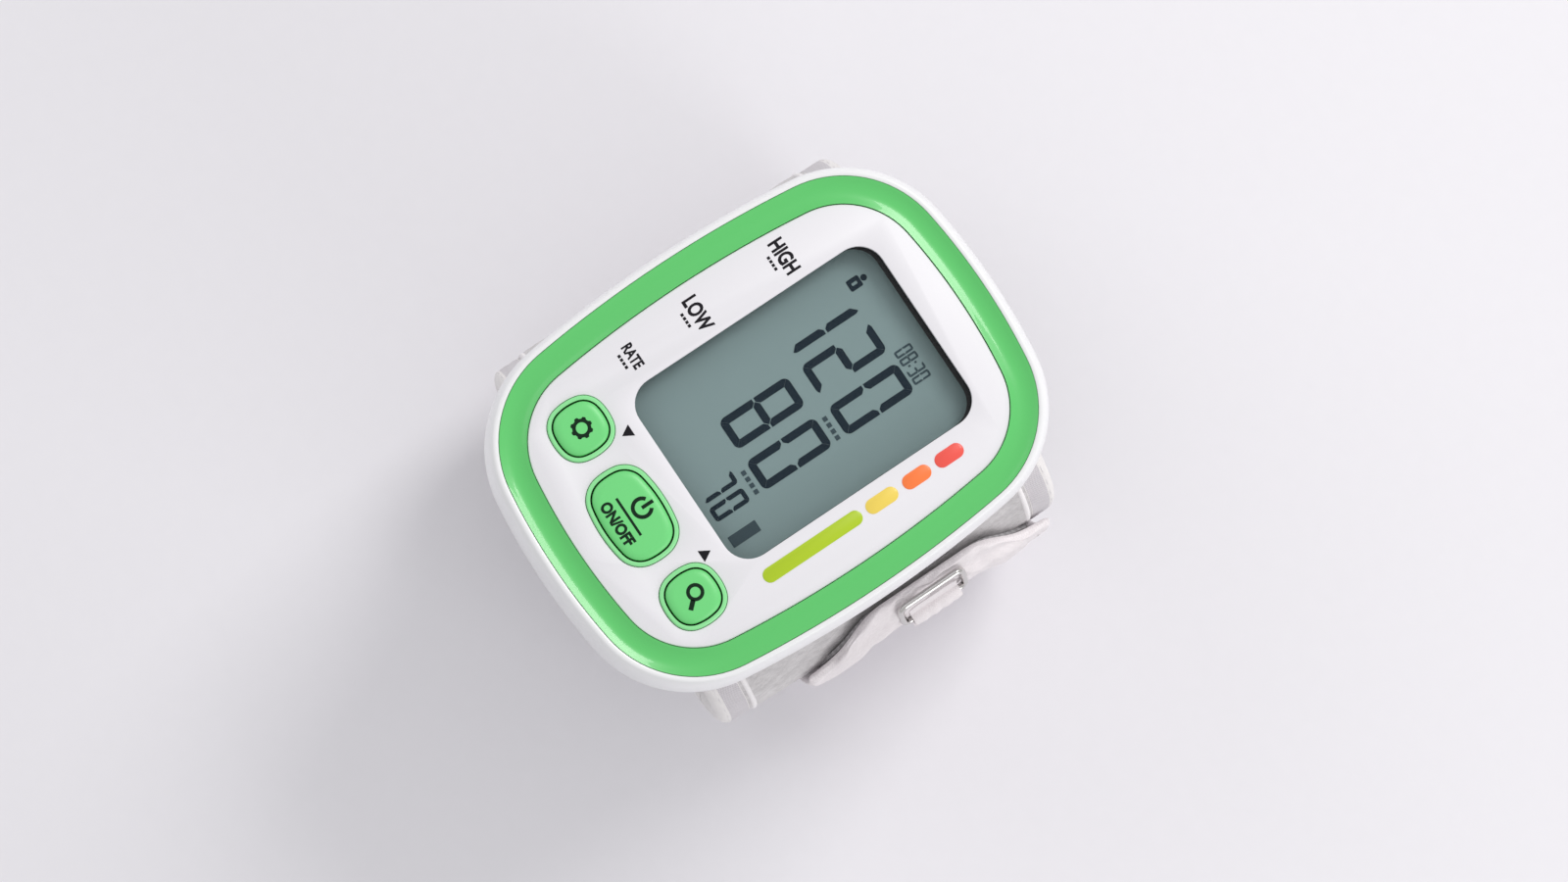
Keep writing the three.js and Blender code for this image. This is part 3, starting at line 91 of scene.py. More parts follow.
def linear(*screenColor):
    # From screen values of 0 to 255 to the linear ones that a socket takes
    shares = [value / 255 for value in screenColor]
    straight = [share / 12.92 if share <= 0.04045 else ((share + 0.055) / 1.055) ** 2.4 for share in shares]
    return (*straight, 1)


def addObject(name, data):
    thing = bpy.data.objects.new(name, data)
    bpy.context.scene.collection.objects.link(thing)
    return thing


def buildCamera():
    data = bpy.data.cameras.new("camera")
    data.lens = cameraView["lens"]
    data.sensor_width = cameraView["sensor"]
    data.clip_start = cameraView["nearest"] * mm
    camera = addObject("camera", data)
    camera.rotation_mode = "ZYX"
    camera.rotation_euler = cameraView["angles"]
    camera.location = Vector(cameraView["place"]) * mm
    bpy.context.scene.camera = camera


def buildLight():
    scene = bpy.context.scene
    scene.view_settings.view_transform = "Standard"
    scene.world = bpy.data.worlds.new("studio")
    scene.world.use_nodes = True
    back = scene.world.node_tree.nodes["Background"]
    back.inputs["Color"].default_value = studio["worldColor"]
    back.inputs["Strength"].default_value = studio["worldStrength"]
    target = Vector(studio["lampsLookAt"]) * mm
    for name, place, size, power, color in studio["lamps"]:
        light = bpy.data.lights.new(name, "AREA")
        light.size = size * mm
        light.energy = power
        light.color = color
        lamp = addObject(name, light)
        lamp.location = Vector(place) * mm
        lamp.rotation_euler = (target - lamp.location).to_track_quat("-Z", "Y").to_euler()


def buildFloor():
    half = studio["floorHalf"] * mm
    mesh = bpy.data.meshes.new("floor")
    corners = ((-1, -1), (1, -1), (1, 1), (-1, 1))
    mesh.from_pydata([(x * half, y * half, 0) for x, y in corners], [], [(0, 1, 2, 3)])
    floor = addObject("floor", mesh)
    paper = bpy.data.materials.new("floorPaper")
    paper.use_nodes = True
    tree = paper.node_tree
    matt = tree.nodes["Principled BSDF"]
    matt.inputs["Roughness"].default_value = studio["floorRoughness"]
    matt.inputs["Specular IOR Level"].default_value = studio["floorSpecular"]
    grain = tree.nodes.new("ShaderNodeTexNoise")
    grain.inputs["Scale"].default_value = studio["floorGrain"]
    color = studio["floorColor"]
    fleck = [value - studio["floorFleck"] for value in color]
    tint = mixColors(tree, grain.outputs["Fac"], linear(*color), linear(*fleck))
    tree.links.new(tint, matt.inputs["Base Color"])
    mesh.materials.append(paper)
    print("studio built")


# Surface effects that the finishes share, as node groups


def newGroup(name, colors, values):
    group = bpy.data.node_groups.new(name, "ShaderNodeTree")
    for kind, sockets in (("NodeSocketColor", colors), ("NodeSocketFloat", values)):
        for label, value in sockets.items():
            group.interface.new_socket(label, in_out="INPUT", socket_type=kind).default_value = value
    for label, kind in (("Color", "NodeSocketColor"), ("Roughness", "NodeSocketFloat"),
                        ("Height", "NodeSocketFloat")):
        group.interface.new_socket(label, in_out="OUTPUT", socket_type=kind)
    return group, group.nodes.new("NodeGroupInput").outputs, group.nodes.new("NodeGroupOutput").inputs


def feed(tree, socket, value):
    # A fixed value, or what another node puts out
    if isinstance(value, bpy.types.NodeSocket):
        tree.links.new(value, socket)
    else:
        socket.default_value = value


def mathNode(tree, operation, first, second=0.0, clamp=False):
    node = tree.nodes.new("ShaderNodeMath")
    node.operation = operation
    node.use_clamp = clamp
    feed(tree, node.inputs[0], first)
    feed(tree, node.inputs[1], second)
    return node.outputs[0]


def arithmetic(tree):
    # Functions that add, take away, multiply and divide in one tree
    return [partial(mathNode, tree, operation) for operation in ("ADD", "SUBTRACT", "MULTIPLY", "DIVIDE")]


def mixColors(tree, share, first, second):
    node = tree.nodes.new("ShaderNodeMix")
    node.data_type = "RGBA"
    for label, value in (("Factor", share), ("A", first), ("B", second)):
        feed(tree, node.inputs[label], value)
    return node.outputs["Result"]


def noiseNode(tree, place, scale, detail, rough=0.5):
    texture = tree.nodes.new("ShaderNodeTexNoise")
    texture.inputs["Detail"].default_value = detail
    texture.inputs["Roughness"].default_value = rough
    feed(tree, texture.inputs["Vector"], place)
    feed(tree, texture.inputs["Scale"], scale)
    return texture.outputs["Fac"]


moulded = {"slowScale": 45.0, "detail": 2.0, "shadow": (0.02, 0.02, 0.025, 1), "bump": 0.35}


def buildMouldedGrain():
    # Fine spark texture of moulded plastic, with slow drifts of colour and gloss
    group, given, made = newGroup(
        "mouldedGrain", {"Color": (0.8, 0.8, 0.8, 1)},
        {"Drift": 0.03, "Grain Scale": 4000.0, "Roughness": 0.35, "Gloss Drift": 0.08})
    add, minus, times, _ = arithmetic(group)
    place = group.nodes.new("ShaderNodeTexCoord").outputs["Object"]
    slow = noiseNode(group, place, moulded["slowScale"], moulded["detail"])
    fine = noiseNode(group, place, given["Grain Scale"], moulded["detail"])
    tint = mixColors(group, times(slow, given["Drift"]), given["Color"], moulded["shadow"])
    gloss = times(minus(add(slow, fine), 1.0), given["Gloss Drift"])
    feed(group, made["Color"], tint)
    feed(group, made["Roughness"], add(given["Roughness"], gloss))
    feed(group, made["Height"], fine)
    return group


woven = {
    "fuzzScale": 1.7, "fuzzDetail": 4, "wobble": 2.2,
    "blotchScale": 0.45, "blotchDetail": 5, "blotchRoughness": 0.68, "blotchLevel": 0.42,
    "shadeDepth": 0.7, "roughness": 0.8, "fuzzRoughness": 0.15, "bump": 0.6,
    "sheenRoughness": 0.5, "specular": 0.25,
}


def buildClothWeave():
    # Threads cross at the given pitch; the cloth's own place in mm is stored on its points
    group, given, made = newGroup(
        "clothWeave", {"Color": (0.7, 0.7, 0.7, 1), "Deep Color": (0.5, 0.5, 0.5, 1)},
        {"Pitch": 0.6, "Stretch": 1.0, "Fuzz": 0.4, "Mottle": 0.35})
    add, minus, times, divide = arithmetic(group)
    stored = group.nodes.new("ShaderNodeAttribute")
    stored.attribute_name = "clothPlace"
    place = stored.outputs["Vector"]
    apart = group.nodes.new("ShaderNodeSeparateXYZ")
    group.links.new(place, apart.inputs["Vector"])
    fuzz = noiseNode(group, place, woven["fuzzScale"], woven["fuzzDetail"])
    blotch = noiseNode(group, place, woven["blotchScale"], woven["blotchDetail"], woven["blotchRoughness"])
    wobble = times(minus(fuzz, 0.5), woven["wobble"])

    def thread(label, pitch):
        phase = divide(times(apart.outputs[label], turn), pitch)
        return mathNode(group, "SINE", add(phase, wobble))

    crossing = times(thread("X", given["Pitch"]), thread("Y", times(given["Pitch"], given["Stretch"])))
    knots = add(times(crossing, 0.5), 0.5)
    height = add(times(knots, minus(1.0, given["Fuzz"])), times(fuzz, given["Fuzz"]))
    # Low places between the threads are darkened towards the deep colour: painted shade in the weave's
    # hollows; the blotches add patchy tone at random
    dark = times(minus(1.0, height, clamp=True), woven["shadeDepth"])
    patchy = times(minus(blotch, woven["blotchLevel"]), given["Mottle"])
    tint = mixColors(group, add(dark, patchy, clamp=True), given["Color"], given["Deep Color"])
    feed(group, made["Color"], tint)
    feed(group, made["Roughness"], add(woven["roughness"], times(fuzz, woven["fuzzRoughness"])))
    feed(group, made["Height"], height)
    return group


mouldedGrain = buildMouldedGrain()
clothWeave = buildClothWeave()


def coated(name, effect, values, bump, depth, constants):
    # A material whose colour, roughness and relief come from a shared effect
    material = bpy.data.materials.new(name)
    material.use_nodes = True
    tree = material.node_tree
    shader = tree.nodes["Principled BSDF"]
    surface = tree.nodes.new("ShaderNodeGroup")
    surface.node_tree = effect
    for label, value in values.items():
        surface.inputs[label].default_value = value
    ridge = tree.nodes.new("ShaderNodeBump")
    ridge.inputs["Strength"].default_value = bump
    ridge.inputs["Distance"].default_value = depth * mm
    tree.links.new(surface.outputs["Color"], shader.inputs["Base Color"])
    tree.links.new(surface.outputs["Roughness"], shader.inputs["Roughness"])
    tree.links.new(surface.outputs["Height"], ridge.inputs["Height"])
    tree.links.new(ridge.outputs["Normal"], shader.inputs["Normal"])
    for label, value in constants.items():
        shader.inputs[label].default_value = value
    return material


def plastic(name, color, roughness=0.35, grain=4000, bump=0.01, drift=0.03, coat=0.0, specular=0.5,
            metallic=0.0, alpha=1.0):
    values = {"Color": linear(*color), "Drift": drift, "Grain Scale": grain, "Roughness": roughness}
    return coated(name, mouldedGrain, values, moulded["bump"], bump,
                  {"Coat Weight": coat, "Specular IOR Level": specular, "Metallic": metallic, "Alpha": alpha})


def cloth(name, color, deep, pitch=0.6, stretch=1.0, fuzz=0.4, bump=0.12, sheen=0.25, mottle=0.35):
    values = {"Color": linear(*color), "Deep Color": linear(*deep), "Pitch": pitch, "Stretch": stretch,
              "Fuzz": fuzz, "Mottle": mottle}
    return coated(name, clothWeave, values, woven["bump"], bump,
                  {"Sheen Weight": sheen, "Sheen Roughness": woven["sheenRoughness"],
                   "Specular IOR Level": woven["specular"]})


plastics = {
    "caseWhite": {"color": (236, 236, 238), "roughness": 0.32, "coat": 0.15},
    "ringGreen": {"color": (92, 198, 106), "roughness": 0.3, "grain": 7000, "bump": 0.003, "coat": 0.35},
    "keyGreen": {"color": (112, 214, 126), "roughness": 0.38, "bump": 0.015},
    "collarGreen": {"color": (142, 227, 153), "roughness": 0.34, "coat": 0.2},
    "panelFilm": {"color": (231, 229, 234), "roughness": 0.42, "grain": 7000, "bump": 0.006},
    "printBlack": {"color": (24, 22, 28), "roughness": 0.5, "grain": 6000, "bump": 0.004, "specular": 0.15},
    "printGreenBlack": {"color": (12, 38, 22), "roughness": 0.5, "grain": 6000, "bump": 0.004,
                        "specular": 0.15},
    "pillRed": {"color": (238, 84, 73), "roughness": 0.4, "coat": 0.2},
    "pillOrange": {"color": (250, 124, 58), "roughness": 0.4, "coat": 0.2},
    "pillYellow": {"color": (238, 209, 88), "roughness": 0.4, "coat": 0.2},
    "pillGreen": {"color": (173, 201, 18), "roughness": 0.4, "coat": 0.2},
    "lcdFace": {"color": (140, 162, 163), "roughness": 0.3, "grain": 9000, "bump": 0.002, "drift": 0.06,
                "specular": 0.2},
    "lcdInk": {"color": (28, 42, 53), "grain": 9000, "bump": 0.002, "specular": 0.1},
    "lcdFaint": {"color": (66, 82, 89), "grain": 9000, "bump": 0.002, "specular": 0.1},
    "lensClear": {"color": (60, 66, 68), "roughness": 0.06, "bump": 0.001, "drift": 0.0, "alpha": 0.06},
    "blackPlastic": {"color": (22, 23, 26), "roughness": 0.5, "bump": 0.02},
    "darkRubber": {"color": (44, 47, 51), "roughness": 0.75, "bump": 0.02},
    "boardGreen": {"color": (30, 104, 60), "roughness": 0.38, "grain": 1500, "bump": 0.02, "drift": 0.15},
    "componentBlack": {"color": (34, 36, 42), "roughness": 0.5, "bump": 0.02},
    "greyPlastic": {"color": (154, 160, 164), "roughness": 0.5, "bump": 0.02},
    "naturalPlastic": {"color": (220, 220, 214), "roughness": 0.45},
    "silicone": {"color": (222, 226, 224), "roughness": 0.5},
    "bladderFilm": {"color": (140, 144, 148), "roughness": 0.6, "grain": 1800, "bump": 0.03},
    "cellSleeve": {"color": (66, 78, 92), "roughness": 0.28, "coat": 0.4},
}
metals = {
    "steel": {"color": (202, 204, 207), "roughness": 0.22, "grain": 2500},
    "ringSteel": {"color": (214, 212, 210), "roughness": 0.16, "grain": 2500},
    "brass": {"color": (204, 170, 92), "roughness": 0.3, "grain": 2500},
    "copper": {"color": (184, 108, 60), "roughness": 0.35, "grain": 5000},
}
cloths = {
    "cuffCloth": {"color": (229, 226, 227), "deep": (146, 142, 144), "pitch": 0.55, "fuzz": 0.6, "bump": 0.2,
                  "mottle": 0.9},
    "strapCloth": {"color": (246, 241, 243), "deep": (206, 197, 201), "pitch": 0.5, "fuzz": 0.6},
    "liningCloth": {"color": (200, 199, 202), "deep": (140, 140, 145), "pitch": 0.8, "stretch": 0.6,
                    "fuzz": 0.3},
    "bindingTape": {"color": (242, 239, 238), "deep": (204, 200, 202), "pitch": 0.4, "stretch": 2.0,
                    "fuzz": 0.35},
    "webbing": {"color": (222, 218, 222), "deep": (170, 165, 171), "pitch": 0.7, "stretch": 0.5, "fuzz": 0.25,
                "bump": 0.2},
    "pipingCord": {"color": (244, 241, 242), "deep": (222, 218, 220), "pitch": 0.5, "bump": 0.05},
    "hookTape": {"color": (182, 180, 182), "deep": (132, 130, 132), "pitch": 1.1, "fuzz": 0.25, "bump": 0.35},
    "thread": {"color": (238, 235, 236), "deep": (200, 196, 198), "pitch": 0.3, "fuzz": 0.2, "bump": 0.05},
}
finishes = {name: plastic(name, **look) for name, look in plastics.items()}
finishes |= {name: plastic(name, bump=0.004, drift=0.08, metallic=1.0, **look)
             for name, look in metals.items()}
finishes |= {name: cloth(name, **look) for name, look in cloths.items()}
print("finishes built:", len(finishes))


# Outlines of the display unit: side, corner and end arcs that meet without a kink

outlineSteps = (8, 18, 8)  # on the side, corner and end arc of each quarter


def bowedArcs(sizes, wider=0, taller=0):
    endRadius, sideRadius = sizes["endRadius"] + taller, sizes["sideRadius"] + wider
    cornerRadius = sizes["cornerRadius"] + wider
    end = Vector((0, sizes["halfHeight"] + taller - endRadius))
    side = Vector((sizes["halfWidth"] + wider - sideRadius, 0))
    endReach = endRadius - cornerRadius
    sideReach = sideRadius - cornerRadius
    span = (end - side).length
    along = (endReach**2 - sideReach**2 + span**2) / (2 * span)
    across = math.sqrt(endReach**2 - along**2)
    toSide = (side - end) / span
    corner = end + toSide * along + Vector((toSide.y, -toSide.x)) * across
    return {
        "side": (side, sideRadius),
        "corner": (corner, cornerRadius),
        "end": (end, endRadius),
        "cornerFrom": math.atan2(*(corner - side).yx),
        "cornerTo": math.atan2(*(corner - end).yx),
    }


def quarterPoint(arcs, angle, offset):
    centre, radius = arcs["corner"]
    if angle < arcs["cornerFrom"]:
        centre, radius = arcs["side"]
    if angle > arcs["cornerTo"]:
        centre, radius = arcs["end"]
    return centre + Vector((math.cos(angle), math.sin(angle))) * (radius + offset)


def outline(arcs, offset, steps=outlineSteps):
    stops = [0, arcs["cornerFrom"], arcs["cornerTo"], turn / 4]
    angles = []
    for part, count in enumerate(steps):
        angles += [stops[part] + (stops[part + 1] - stops[part]) * i / count for i in range(count)]
    quarter = [quarterPoint(arcs, angle, offset) for angle in angles + [turn / 4]]
    points = quarter[:-1]
    points += [Vector((-p.x, p.y)) for p in reversed(quarter)][:-1]
    points += [Vector((-p.x, -p.y)) for p in quarter][:-1]
    points += [Vector((p.x, -p.y)) for p in reversed(quarter)][:-1]
    return points


def arc(x, y, radius, start, span, steps):
    angles = [start + span * i / steps for i in range(steps + 1)]
    return [Vector((x + radius * math.cos(angle), y + radius * math.sin(angle))) for angle in angles]


def circle(x, y, radius, steps=32):
    return arc(x, y, radius, 0, turn, steps)[:-1]


def quarterRound(steps):
    # How far in and how far down a rounded edge is from its top, as shares of its radius
    angles = [turn / 4 * i / steps for i in range(steps + 1)]
    return [(1 - math.cos(angle), 1 - math.sin(angle)) for angle in angles]


def halfRound(steps):
    # Points on the right half of a circle of radius 1, from its top to its bottom
    angles = [turn / 4 - turn / 2 * i / steps for i in range(steps + 1)]
    return [(math.cos(angle), math.sin(angle)) for angle in angles]


def roundedRectangle(x, y, halfWidth, halfHeight, corner, steps=10):
    points = []
    for quadrant, (sx, sy) in enumerate(((1, -1), (1, 1), (-1, 1), (-1, -1))):
        points += arc(x + sx * (halfWidth - corner), y + sy * (halfHeight - corner), corner,
                      turn * (quadrant - 1) / 4, turn / 4, steps)
    return points


# Making pieces

# Edges that turn by more than so many degrees stay sharp
sharpFrom = {"moulded": 32, "bevelled": 40, "solid": 40, "folded": 50, "cloth": 60, "rounded": 80}


def shade(piece, kind="moulded"):
    piece.data.shade_smooth()
    piece.data.set_sharp_from_angle(angle=math.radians(sharpFrom[kind]))


def paint(piece, finish, kind="moulded"):
    piece.data.materials.clear()
    piece.data.materials.append(finishes[finish])
    shade(piece, kind)


def makePiece(name, points, faces, finish, kind="moulded"):
    mesh = bpy.data.meshes.new(name)
    mesh.from_pydata([Vector(p) * mm for p in points], [], faces)
    shaped = bmesh.new()
    shaped.from_mesh(mesh)
    bmesh.ops.recalc_face_normals(shaped, faces=shaped.faces)
    shaped.to_mesh(mesh)
    shaped.free()
    piece = addObject(name, mesh)
    paint(piece, finish, kind)
    return piece


def settle(piece, body, slot, *nodes):
    # The body is a name, or two names and two places in metres, which are not used: such a piece is only
    # baked where it stands
    if isinstance(body, str):
        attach(piece, body)
    else:
        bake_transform(piece)
    if nodes:
        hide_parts(*nodes)


def level(points, z):
    return [(p.x, p.y, z) for p in points]


def tube(points, faces, rings, loop=False):
    # Add rings of points, each joined to the next; the ends are closed unless they meet in a loop
    base, count = len(points), len(rings[0])
    points += [p for row in rings for p in row]
    for k in range(len(rings) if loop else len(rings) - 1):
        lower, upper = base + k * count, base + (k + 1) % len(rings) * count
        for i in range(count):
            j = (i + 1) % count
            faces.append((lower + i, lower + j, upper + j, upper + i))
    if not loop:
        faces.append(tuple(range(base + count - 1, base - 1, -1)))
        faces.append(tuple(range(len(points) - count, len(points))))


def loft(name, rings, finish="caseWhite", loop=False, kind="moulded"):
    points, faces = [], []
    tube(points, faces, rings, loop)
    return makePiece(name, points, faces, finish, kind)


def band(name, outer, inner, low, high, finish):
    # A flat ring between two outlines
    rings = [level(outer, low), level(outer, high), level(inner, high), level(inner, low)]
    return loft(name, rings, finish, loop=True)


def stackedOutline(name, arcs, profile, finish="caseWhite", loop=False, x=0, y=0, steps=outlineSteps):
    rings = [[(p.x + x, p.y + y, z) for p in outline(arcs, offset, steps)] for offset, z in profile]
    return loft(name, rings, finish, loop)


def drawnZ(name, points, zFrom, zTo, finish="caseWhite"):
    return loft(name, [level(points, zFrom), level(points, zTo)], finish)


def drawnY(name, points, yFrom, yTo):
    return loft(name, [[(p.x, y, p.y) for p in points] for y in (yFrom, yTo)])


def block(name, low, high):
    (x0, y0, z0), (x1, y1, z1) = low, high
    return drawnZ(name, [Vector(corner) for corner in ((x0, y0), (x1, y0), (x1, y1), (x0, y1))], z0, z1)


def bake(piece):
    # Put the result of the piece's modifiers into its mesh
    evaluated = piece.evaluated_get(bpy.context.evaluated_depsgraph_get())
    mesh = bpy.data.meshes.new_from_object(evaluated)
    old = piece.data
    piece.modifiers.clear()
    piece.data = mesh
    bpy.data.meshes.remove(old)


def combine(piece, tools, operation="DIFFERENCE"):
    for tool in tools:
        step = piece.modifiers.new("combine", "BOOLEAN")
        step.object = tool
        step.operation = operation
        step.solver = "EXACT"
    bake(piece)
    for tool in tools:
        bpy.data.objects.remove(tool)
    shade(piece)


def softenEdges(piece, width):
    step = piece.modifiers.new("soften", "BEVEL")
    step.width = width * mm
    step.segments = 2
    step.limit_method = "ANGLE"
    step.angle_limit = math.radians(fit["softenFrom"])
    bake(piece)
    shade(piece, "bevelled")


# Display unit

fit = {"gap": 0.3, "overrun": 1.0, "seam": 0.08, "softenFrom": 50}  # the last in degrees
ring = {
    "halfWidth": 30.9, "halfHeight": 41.04, "endRadius": 105.3, "sideRadius": 204.2, "cornerRadius": 17.93,
    "band": 4.1, "dish": 0.65, "dishPower": 0.8, "innerDrop": 0.15, "edge": 0.3, "edgeDrop": 0.1, "steps": 14,
}
housing = {
    "rimSide": 2.2, "rimEnd": 2.9, "rimDrop": 8.5, "rimSteps": 16, "lip": 0.55, "lipFall": 1.6, "lipSteps": 4,
    "wall": 1.8, "deck": 1.5, "lapThick": 0.8, "lapRise": 1.2, "flankDraft": 0.6, "footRadius": 3.2,
    "footSteps": 8, "bossRadius": 2.6, "bossAngle": 50, "bossDrop": 4.2, "bossSink": 0.7, "screwRadius": 1.0,
    "headRadius": 1.9, "headThick": 1.3,
}
window = {"halfWidth": 16.72, "halfHeight": 23.46, "corner": 4.49, "y": 6.6, "tunnel": 1.7}


def footOf(node):
    return boxOf(node)[0].z


def topOf(node):
    return boxOf(node)[1].z


faceZ = topOf("trim_ring")
panelTop, panelBottom = topOf("face_panel"), footOf("face_panel")
deckTop = panelBottom - fit["gap"]
deckBottom = deckTop - housing["deck"]
partingZ = faceZ - housing["rimDrop"]
footZ = footOf("rear_cover")
webTop, webBottom = deckBottom - fit["gap"], footOf("button_frame")
keyTop = topOf("button_start")
lensTop, lensLow = topOf("display_lens"), footOf("display_lens")
lcdTop = topOf("lcd_glass")
boardLow = footOf("main_board")
postEnd = boardLow - housing["bossDrop"]  # where the screw posts of the two covers meet
rearTop, lapTop = partingZ - fit["gap"], partingZ + housing["lapRise"]
caseSide, caseEnd = ring["halfWidth"] + housing["rimSide"], ring["halfHeight"] + housing["rimEnd"]
ringArcs = bowedArcs(ring)
caseArcs = bowedArcs(ring, housing["rimSide"], housing["rimEnd"])
bossReach = quarterPoint(caseArcs, math.radians(housing["bossAngle"]),
                         -(housing["wall"] + housing["bossRadius"] + fit["gap"]))
bossSpots = [(bossReach.x * sx, bossReach.y * sy) for sx in (1, -1) for sy in (1, -1)]


def posts(radius, low, high):
    return [drawnZ("post", circle(x, y, radius), low, high) for x, y in bossSpots]


def windowShape(margin):
    return roundedRectangle(0, window["y"], window["halfWidth"] + margin, window["halfHeight"] + margin,
                            window["corner"] + margin)


smallKey = {"halfWidth": 5.05, "halfHeight": 5.15, "endRadius": 9, "sideRadius": 9, "cornerRadius": 3.9}
startKey = {"halfWidth": 8.3, "halfHeight": 5.9, "endRadius": 24, "sideRadius": 11, "cornerRadius": 4.6}
keys = [
    {"name": "settings", "shape": smallKey, "x": -16.1, "y": -25.5},
    {"name": "start", "shape": startKey, "x": 0, "y": -26.4},
    {"name": "memory", "shape": smallKey, "x": 16.1, "y": -25.5},
]
keyShape = {
    "outlineSteps": (4, 10, 4), "collarWall": 0.7, "collarRise": 0.35,
    "collarEdge": [(0, 0.35), (0.08, 0.12), (0.25, 0), (0.45, 0)],  # how far in and how far down
    "edge": 1.5, "edgeDrop": 0.7, "edgeSteps": 7, "flange": 0.6, "flangeThick": 0.7,
    "stemRadius": 1.5, "stemLength": 0.6, "stemSink": 0.3, "webMargin": 1.0,
}


def keyForm(name, key, profile, finish="caseWhite"):
    return stackedOutline(name, bowedArcs(key["shape"]), profile, finish, x=key["x"], y=key["y"],
                          steps=keyShape["outlineSteps"])


def keyShaft(key, margin, low, high):
    return keyForm("shaft", key, [(margin, low), (margin, high)])


# Cuff cross-section, and the place of a point that faces an angle at an offset from the cuff's opening

cuffShape = {
    "halfWidth": 31, "halfHeight": 21.5, "sideRadius": 40, "thick": 5.3, "sectionZ": 26.3, "degreeStep": 3,
    "upper": {"endRadius": 62, "cornerRadius": 15}, "lower": {"endRadius": 400, "cornerRadius": 17},
}
cuffUpper = bowedArcs(cuffShape | cuffShape["upper"])
cuffLower = bowedArcs(cuffShape | cuffShape["lower"])
table = {"clear": 0.02, "layer": 0.2, "outermost": 5.35}  # cloth that rests on it keeps its layers apart


def cuffPoint(angle, offset):
    sine, cosine = math.sin(angle), math.cos(angle)
    arcs = cuffUpper if sine >= 0 else cuffLower
    point = quarterPoint(arcs, math.atan2(abs(sine), abs(cosine)), offset)
    return Vector((math.copysign(point.x, cosine), cuffShape["sectionZ"] + math.copysign(point.y, sine)))


def softPoint(angle, y, offset):
    spot = cuffPoint(angle, offset)
    rest = table["clear"] + table["layer"] * max(0, table["outermost"] - offset)
    return (spot.x, y, max(spot.y, rest))


def cuffEnvelope(margin):
    angles = [math.radians(angle) for angle in range(0, 360, cuffShape["degreeStep"])]
    points = [cuffPoint(angle, cuffShape["thick"] + margin) for angle in angles]
    reach = caseEnd + fit["overrun"]
    return drawnY("envelope", points, -reach, reach)


def buildFrontShell():
    gap, wall, over = fit["gap"], housing["wall"], fit["overrun"]
    crest, widest = outline(ringArcs, gap + housing["lip"]), outline(caseArcs, 0)
    rings = [level(outline(ringArcs, gap), deckTop)]
    for out, down in quarterRound(housing["lipSteps"]):
        z = faceZ - ring["innerDrop"] * down * housing["lipFall"]
        rings.append(level(outline(ringArcs, gap + housing["lip"] * out), z))
    for fall, left in quarterRound(housing["rimSteps"])[1:]:
        points = [p.lerp(widest[k], 1 - left) for k, p in enumerate(crest)]
        rings.append(level(points, faceZ - housing["rimDrop"] * fall))
    lapEdge, inside = outline(caseArcs, -(wall - housing["lapThick"]) + gap / 2), outline(caseArcs, -wall)
    lapZ = lapTop + gap
    rings += [level(lapEdge, partingZ), level(lapEdge, lapZ), level(inside, lapZ), level(inside, deckBottom)]
    shell = loft("frontShell", rings)
    combine(shell, posts(housing["bossRadius"], postEnd + gap, deckTop - housing["bossSink"]), "UNION")
    low, high = deckBottom - over, deckTop + over
    tools = [drawnZ("tunnel", windowShape(window["tunnel"]), low, high)]
    tools += [keyShaft(key, gap, low, high) for key in keys]
    tools += posts(housing["screwRadius"] + gap, postEnd - over, deckBottom)
    combine(shell, tools)
    settle(shell, "monitor", "case_white", "front_cover")


def rearForm(name, inset, topZ, bottomZ):
    radius, flank = housing["footRadius"], -housing["flankDraft"]
    profile = [(flank - radius * into - inset, bottomZ + radius * down)
               for into, down in quarterRound(housing["footSteps"])]
    return stackedOutline(name, caseArcs, [(-inset, topZ)] + profile)


door = {"halfHeight": 6.2, "halfLength": 24.6, "gripRadius": 9, "gripDepth": 0.7, "gripHalf": 7,
        "gripSteps": 96, "ribThick": 0.8, "ribReach": 0.9, "soften": 0.15}
doorMiddle = (footOf("battery_door") + topOf("battery_door")) / 2


def doorCutter(margin):
    y, z = door["halfLength"] + margin, door["halfHeight"] + margin
    return block("doorway", (-(caseSide + fit["overrun"]), -y, doorMiddle - z),
                 (-(caseSide - housing["wall"] - fit["overrun"]), y, doorMiddle + z))


def buildRearShell():
    gap, wall, over = fit["gap"], housing["wall"], fit["overrun"]
    lap = -(wall - housing["lapThick"]) - gap / 2
    shell = rearForm("rearShell", 0, rearTop, footZ)
    lapWall = stackedOutline("lap", caseArcs, [(lap, rearTop - housing["lapThick"]), (lap, lapTop)])
    combine(shell, [lapWall], "UNION")
    hollow = rearForm("hollow", wall, lapTop + over, footZ - over)
    lowest = block("lowest", (-caseSide, -caseEnd, 0), (caseSide, caseEnd, footZ + wall))
    combine(hollow, [cuffEnvelope(gap + wall), lowest])
    combine(shell, [hollow])
    combine(shell, posts(housing["bossRadius"], footZ + wall / 2, postEnd), "UNION")
    headSeat = footOf("case_screw_1") + housing["headThick"]
    tools = [cuffEnvelope(gap), doorCutter(gap)]
    tools += posts(housing["screwRadius"] + gap, footZ - over, boardLow)
    tools += posts(housing["headRadius"] + gap, 0, headSeat + gap)
    combine(shell, tools)
    settle(shell, "monitor", "case_white", "rear_cover")


